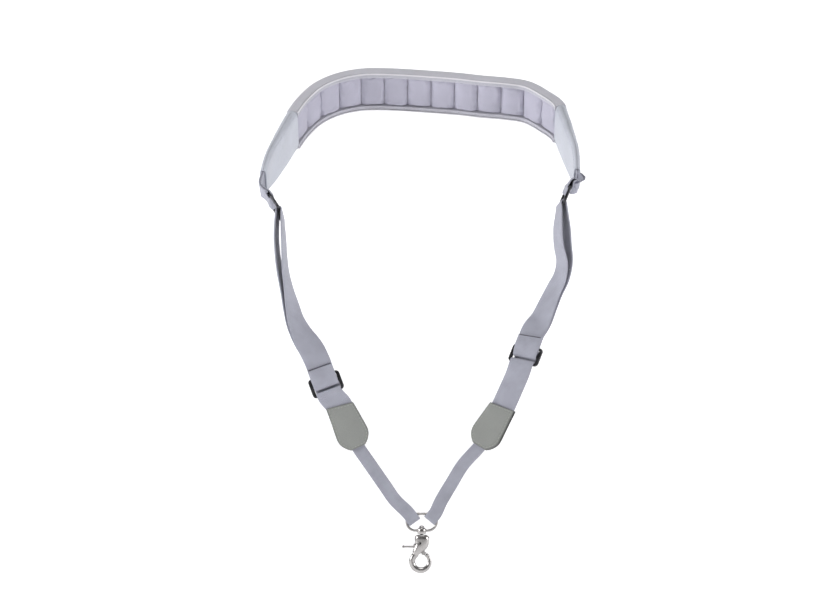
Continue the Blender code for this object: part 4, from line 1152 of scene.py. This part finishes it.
def make_slider(side, finishes):
    """One three-bar slider: a rounded frame with its centre bar, die-cast in one piece."""
    data = SIDES[side]
    middle = np.array(data["slider"])
    up = unit(data["up"])
    front = side_front(side, up)
    across = np.cross(up, front)
    corner = 0.0022
    half = (SLIDER_INSIDE / 2 + SLIDER_SIDE / 2, BAR_PITCH)
    turns = 2 * math.pi * (np.arange(28) + 0.5) / 28
    soft = [np.sign(wave(turns)) * np.abs(wave(turns))**0.62 for wave in (np.cos, np.sin)]
    rings = []
    for one, two, start in ((1, 1, 0), (-1, 1, 90), (-1, -1, 180), (1, -1, 270)):
        for angle in np.radians(np.linspace(start, start + 90, 9)):
            spoke = np.array((math.cos(angle), math.sin(angle)))
            place = np.array((one * (half[0] - corner), two * (half[1] - corner))) + corner * spoke
            wide = SLIDER_SIDE / 2 * spoke[0]**2 + BAR_HALF * spoke[1]**2
            out = spoke[0] * across + spoke[1] * up
            rings.append(middle + place[0] * across + place[1] * up + wide * soft[0][:, None] * out
                         + BAR_HALF * soft[1][:, None] * front)
    piece = lofted(f"slider_frame_{side}", rings, finishes["gunmetal"], closed=True)
    bar = [middle + place * across + BAR_HALF * soft[0][:, None] * up + BAR_HALF * soft[1][:, None] * front
           for place in np.linspace(-half[0], half[0], 9)]
    combined(piece, lofted("bar_tool", bar, finishes["gunmetal"]), "UNION")
    placed(piece, f"slider_{side}", "gunmetal", f"slider_{side}")


def inset(outline, depth):
    """The outline at a depth inside its edge, point for point towards its middle."""
    centre = outline.mean(axis=0)
    edges = np.roll(outline, -1, axis=0) - outline
    normals = unit(np.stack((edges[:, 1], -edges[:, 0]), axis=1))
    room = np.sum(normals * (outline - centre), axis=1)
    normals, room = normals * np.sign(room)[:, None], np.abs(room)
    lean = (outline - centre) @ normals.T
    share = np.where(lean > 1e-5, (room[None, :] - depth) / np.maximum(lean, 1e-5), np.inf).min(axis=1)
    return centre + np.clip(share, 0.02, 1.0)[:, None] * (outline - centre)


def make_leather(side, finishes):
    """The front and back leather of one tab: domed, burnished at the edge and sewn all round."""
    data = SIDES[side]
    down = unit(data["tab_down"])
    front = side_front(side, down)
    outwards = data["outer"] * np.cross(front, down)
    top = np.array((data["tab_top"][0], WEB_PLANE_Y, data["tab_top"][1]))
    outline = tab_outline(0.0007)
    centre = outline.mean(axis=0)
    depths = (0.0, 0.00004, 0.00018, 0.00045, 0.0009, 0.0014, 0.0018, 0.0022, 0.0026, 0.0032, 0.0040)
    heights = (0.0, 0.30, 0.62, 0.86, 0.97, 0.93, 0.82, 0.82, 0.93, 1.0, 1.02)
    flats = [inset(outline, depth) for depth in depths]
    for scale in np.linspace(0.85, 0.05, 11):
        flats.append(centre + scale * (flats[10] - centre))
        depths += (0.0060,)
        heights += (1.02 + 0.10 * (1 - scale**2),)
    rows = []
    for layer, near, away in (("front", LEATHER_IN, 1), ("back", -LEATHER_IN, -1)):
        rings = [[top + one * outwards + two * down + near * front for one, two in outline]]
        for flat, height in zip(flats, heights):
            lift = near + away * LEATHER_THICK * height
            rings.append([top + one * outwards + two * down + lift * front for one, two in flat])
        edge = np.repeat((0.0, *np.clip(np.array(depths) / 0.0011, 0, 1)), len(outline))
        rings = np.array(rings)
        finish = finishes["sage_leather"]
        piece = new_piece(f"leather_{layer}_{side}", rings.reshape(-1, 3), skin(rings), finish, edge=edge)
        placed(piece, "strap_root", "sage_leather", f"leather_tab_{layer}_{side}")
        line = inset(outline, 0.0020)
        line = np.vstack((line, line[:1]))
        lift = near + away * LEATHER_THICK * 0.84
        rows.append((top + line[:, :1] * outwards + line[:, 1:] * down + lift * front, away * front))
    sewn = stitches(f"leather_stitching_{side}", rows, finishes["sage_thread"], 0.0021, 0.0010, 0.00028)
    placed(sewn, "strap_root", "sage_leather")


def tab_outline(step):
    """The shield outline of a leather tab as (outwards, down), smooth but for its top corners."""
    outer = curve_through(LEATHER_OUTLINE, step, dims=2)
    bottom = np.linspace(outer[-1], outer[-1] * (-1, 1), round(2 * outer[-1][0] / step) + 1)[1:-1]
    top = np.linspace(outer[0] * (-1, 1), outer[0], round(2 * outer[0][0] / step) + 1)[1:-1]
    outline = np.vstack((outer, bottom, outer[::-1] * (-1, 1), top))
    height = 1 - np.clip(outline[:, 1] / 0.010, 0, 1)
    slope = np.clip(outline[:, 0] / outer[0][0], -1, 1)
    outline[:, 1] -= LEATHER_SLANT * height * slope
    return outline


def make_narrow(side, finishes):
    """The doubled narrow webbing, smooth, folded round the wire eye."""
    path, face = narrow_path(side)
    rows = refined(np.hstack((path, face)), 0.0008)
    run = (rows[:, :3], rows[:, 3:], 0.0)
    piece = strip([run], f"narrow_loop_{side}", NARROW_WIDTH, NARROW_THICK, finishes["narrow_webbing"])
    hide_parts(f"narrow_webbing_{side}")
    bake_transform(piece)


# Hook ---


def turned(name, x, y, levels, finish, sides=48):
    """A turned shape on a vertical axis, from its (height, radius) levels."""
    turns = np.linspace(0, 2 * math.pi, sides, endpoint=False)
    rings = [[(x + radius * math.cos(a), y + radius * math.sin(a), height) for a in turns]
             for height, radius in levels]
    return lofted(name, rings, finish)


def make_eye_and_post(finishes):
    """The wire eye with its boss, and the swivel post."""
    nickel = finishes["nickel"]
    straight = EYE_HALF_LENGTH - EYE_HALF_HEIGHT
    path = []
    for hand in (1, -1):
        for angle in np.radians(np.linspace(-90, 90, 37)):
            x = EYE_X + hand * (straight + EYE_HALF_HEIGHT * math.cos(angle))
            path.append((x, WEB_PLANE_Y, EYE_Z + hand * EYE_HALF_HEIGHT * math.sin(angle)))
    piece = rod("eye_wire", path, EYE_WIRE, nickel, FRONT, 24, closed=True)
    levels = (
        (BOSS_LOW_Z, BOSS_RADIUS - 0.0007), (BOSS_LOW_Z + 0.0002, BOSS_RADIUS - 0.0002),
        (BOSS_LOW_Z + 0.0007, BOSS_RADIUS), (BOSS_TOP_Z - 0.0020, BOSS_RADIUS),
        (BOSS_TOP_Z - 0.0008, BOSS_RADIUS - 0.0005), (BOSS_TOP_Z, BOSS_RADIUS - 0.0014),
    )
    combined(piece, turned("boss_tool", EYE_X, WEB_PLANE_Y, levels, nickel), "UNION")
    levels = ((BOSS_LOW_Z - 0.001, POST_HOLE), (BOSS_TOP_Z + 0.001, POST_HOLE))
    combined(piece, turned("hole_tool", EYE_X, WEB_PLANE_Y, levels, nickel), "DIFFERENCE")
    placed(piece, "eye", "nickel", "wire_eye")
    head = BOSS_TOP_Z + GAP
    levels = [(POST_LOW_Z, POST_RADIUS), (head, POST_RADIUS), (head, POST_HEAD_RADIUS * 0.94),
              (head + 0.0004, POST_HEAD_RADIUS)]
    for angle in np.radians((30, 45, 60, 75, 85)):
        levels.append((head + POST_HEAD * math.sin(angle), POST_HEAD_RADIUS * math.cos(angle)))
    placed(turned("post", EYE_X, WEB_PLANE_Y, levels, nickel), "hook", "nickel", "swivel_post")


CUT_PAST = 0.020  # cutters reach past the hook on both sides


def make_hook(finishes):
    """Hook body and arm, cut with the trigger's slot, the rivet's hole and the post's bore, its cut edges
    softened.
    """
    nickel = finishes["nickel"]
    rows = refined(hook_sections(), 0.0008, dims=2)
    middle = np.stack((rows[:, 0], np.full(len(rows), WEB_PLANE_Y), rows[:, 1]), axis=1)
    along = tangents(middle)
    level = np.clip((-0.4380 - rows[:, 1]) / 0.004, 0, 1)[:, None]
    top = np.arange(len(rows))[:, None] < len(rows) / 4
    along = np.where(top, unit(level * along + (1 - level) * np.array((0.0, 0.0, -1.0))), along)
    across = np.cross(along, FRONT)
    turns = 2 * math.pi * (np.arange(40) + 0.5) / 40
    rings = [point + half * np.cos(turns)[:, None] * side + depth * np.sin(turns)[:, None] * FRONT
             for point, side, half, depth in zip(middle, across, rows[:, 2], rows[:, 3])]
    piece = lofted("hook_casting", rings, nickel)
    slot = [(-CUT_PAST, SLOT_TOP_Z), (-CUT_PAST, SLOT_FLOOR_Z), (SLOT_LEFT_X, SLOT_FLOOR_Z),
            (SLOT_LEFT_X, THROAT_Z), (THROAT_X, THROAT_Z), (THROAT_X, MOUTH_Z),
            (CUT_PAST, MOUTH_Z), (CUT_PAST, SLOT_TOP_Z)]
    combined(piece, plate("slot_tool", slot, SLOT_HALF, nickel), "DIFFERENCE")
    ends = [(RIVET_X, WEB_PLANE_Y - 0.010, RIVET_Z), (RIVET_X, WEB_PLANE_Y + 0.010, RIVET_Z)]
    combined(piece, rod("rivet_tool", ends, RIVET_HOLE, nickel, (0, 0, 1), 32), "DIFFERENCE")
    levels = ((POST_LOW_Z - GAP, POST_HOLE), (-0.4350, POST_HOLE))
    combined(piece, turned("post_tool", EYE_X, WEB_PLANE_Y, levels, nickel, 32), "DIFFERENCE")
    soften(piece, 0.00035)
    placed(piece, "hook", "nickel", "hook_body")


def plate(name, outline, half, finish):
    """A flat plate in the hook's plane, from its (x, z) outline."""
    rings = [[(x, WEB_PLANE_Y + depth, z) for x, z in outline] for depth in (-half, half)]
    return lofted(name, rings, finish)


def soften(piece, width):
    """Small rounded edges where cuts meet."""
    change = piece.modifiers.new("soft edges", "BEVEL")
    change.width = width
    change.segments = 2
    change.limit_method = "ANGLE"
    change.angle_limit = math.radians(38)


def make_spring(finishes):
    """The trigger's coil spring, on the hook."""
    low = -0.4446 + GAP + SPRING_WIRE
    high = SLOT_TOP_Z - GAP - SPRING_WIRE
    turns = np.linspace(0, SPRING_TURNS, SPRING_TURNS * 24 + 1)
    angle = 2 * math.pi * turns
    path = np.stack((SPRING_X + SPRING_COIL * np.cos(angle), WEB_PLANE_Y + SPRING_COIL * np.sin(angle),
                     low + (high - low) * turns / SPRING_TURNS), axis=1)
    piece = rod("coil", path, SPRING_WIRE, finishes["spring_steel"], (0, 0, 1), 10)
    placed(piece, "hook", "spring_steel", "trigger_spring")
    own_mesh(piece)


# Scene ---


def finish_kept_nodes(frame, finishes):
    """The CAD nodes that stay: their slot's material, smooth shading and sharp edges by angle."""
    slots = {row["node"]: row["material_slot"] for row in frame["record"]["subparts"]}
    for name, node in frame["nodes"].items():
        if node.hide_render:
            continue
        node.data.materials.clear()
        node.data.materials.append(finishes[slots[name]])
        node.data.shade_smooth()
        node.data.set_sharp_from_angle(angle=math.radians(35))


WORLD_LIGHT = 0.32
FLOOR_GLOW = 0.48
LIGHTS = (
    ("left", (-2.1, -0.75, 0.25), (0, -0.1, -0.2), 0.9, 34.0),
    ("right", (2.1, -0.75, 0.15), (0, -0.1, -0.2), 0.9, 23.0),
    ("top", (0.1, -0.8, 1.7), (0, -0.05, -0.1), 1.0, 11.0),
    ("backdrop", (0.0, 0.9, 2.1), (0, 2.9, -0.3), 1.4, 3.0),
)
FLOOR_Z = -0.62
BEND_RADIUS = 0.5  # between floor and backdrop
WALL_Y = 3.0
PAPER = (0.86, 0.86, 0.87)
WORLD_LOW = (0.30, (0.95, 0.95, 0.96, 1))  # place on the ramp from nadir to zenith, and tone
WORLD_HIGH = (0.85, (0.85, 0.85, 0.85, 1))
WORLD_BAND = ((0.44, 0.24), (0.52, 0.10), (0.64, 0.45))
SENSOR = 36.0
LENS = 107.143
CAMERA_PLACE = (0.002, -2.54, -0.2174)


def make_studio():
    """Pale floor and backdrop, soft lights and the camera."""
    pale = Finish("studio_paper", 0.9)
    pale.colour(pale.mix(pale.noise(pale.place(), 3.0), PAPER, (0.88, 0.88, 0.89)))
    pale.shader.inputs["Emission Color"].default_value = (1.0, 1.0, 1.0, 1.0)
    pale.shader.inputs["Emission Strength"].default_value = FLOOR_GLOW
    bend = [(WALL_Y - BEND_RADIUS * (1 - math.sin(a)), FLOOR_Z + BEND_RADIUS * (1 - math.cos(a)))
            for a in np.radians(np.linspace(0, 90, 13))]
    line = [(-4.0, FLOOR_Z), *bend, (WALL_Y, 3.4)]
    points = [(x, y, z) for y, z in line for x in (-5.0, 5.0)]
    faces = [(2 * i, 2 * i + 1, 2 * i + 3, 2 * i + 2) for i in range(len(line) - 1)]
    floor = new_piece("studio_floor", points, faces, pale.made)
    world = bpy.data.worlds.new("studio")
    world.use_nodes = True
    nodes, links = world.node_tree.nodes, world.node_tree.links
    split = nodes.new("ShaderNodeSeparateXYZ")
    links.new(nodes.new("ShaderNodeTexCoord").outputs["Generated"], split.inputs[0])
    ramp = nodes.new("ShaderNodeValToRGB")
    elements = ramp.color_ramp.elements
    elements[0].position, elements[0].color = WORLD_LOW
    elements[1].position, elements[1].color = WORLD_HIGH
    for place, shade in WORLD_BAND:
        elements.new(place).color = (shade, shade, shade * 1.02, 1)
    change = nodes.new("ShaderNodeMath")
    change.operation = "MULTIPLY_ADD"
    change.inputs[1].default_value = change.inputs[2].default_value = 0.5
    links.new(split.outputs["Z"], change.inputs[0])
    links.new(change.outputs[0], ramp.inputs[0])
    links.new(ramp.outputs[0], nodes["Background"].inputs["Color"])
    nodes["Background"].inputs["Strength"].default_value = WORLD_LIGHT
    plain, choice = nodes.new("ShaderNodeBackground"), nodes.new("ShaderNodeMixShader")
    plain.inputs["Color"].default_value = (*PAPER, 1)
    links.new(nodes.new("ShaderNodeLightPath").outputs["Is Camera Ray"], choice.inputs[0])
    links.new(nodes["Background"].outputs[0], choice.inputs[1])
    links.new(plain.outputs[0], choice.inputs[2])
    links.new(choice.outputs[0], nodes["World Output"].inputs["Surface"])
    bpy.context.scene.world = world
    bpy.context.scene.view_settings.view_transform = "Standard"
    for name, place, aim, size, power in LIGHTS:
        light = bpy.data.lights.new(name, "AREA")
        light.shape, light.size, light.energy = "DISK", size, power
        lamp = bpy.data.objects.new(name, light)
        lamp.location = place
        away = np.array(place) - np.array(aim)
        tilt, turn = math.atan2(math.hypot(away[0], away[1]), away[2]), math.atan2(away[0], -away[1])
        lamp.rotation_euler = (tilt, 0, turn)
        bpy.context.scene.collection.objects.link(lamp)
    data = bpy.data.cameras.new("camera")
    data.sensor_width, data.lens = SENSOR, LENS
    camera = bpy.data.objects.new("camera", data)
    camera.location, camera.rotation_euler = CAMERA_PLACE, (math.pi / 2, 0, 0)
    bpy.context.scene.collection.objects.link(camera)
    bpy.context.scene.camera = camera


def main():
    """Builds every piece round the frame."""
    for old in list(bpy.data.objects):
        bpy.data.objects.remove(old, do_unlink=True)
    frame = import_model()
    finishes = make_finishes()
    make_pad(finishes)
    make_cells(finishes)
    for side in SIDES:
        ring = ring_frame(side)
        make_end_tabs(side, finishes)
        make_pad_webbing(side, ring, finishes)
        make_strap(side, finishes)
        make_rings(side, ring, finishes)
        make_slider(side, finishes)
        make_leather(side, finishes)
        make_narrow(side, finishes)
    make_eye_and_post(finishes)
    make_hook(finishes)
    make_spring(finishes)
    finish_kept_nodes(frame, finishes)
    make_studio()


main()
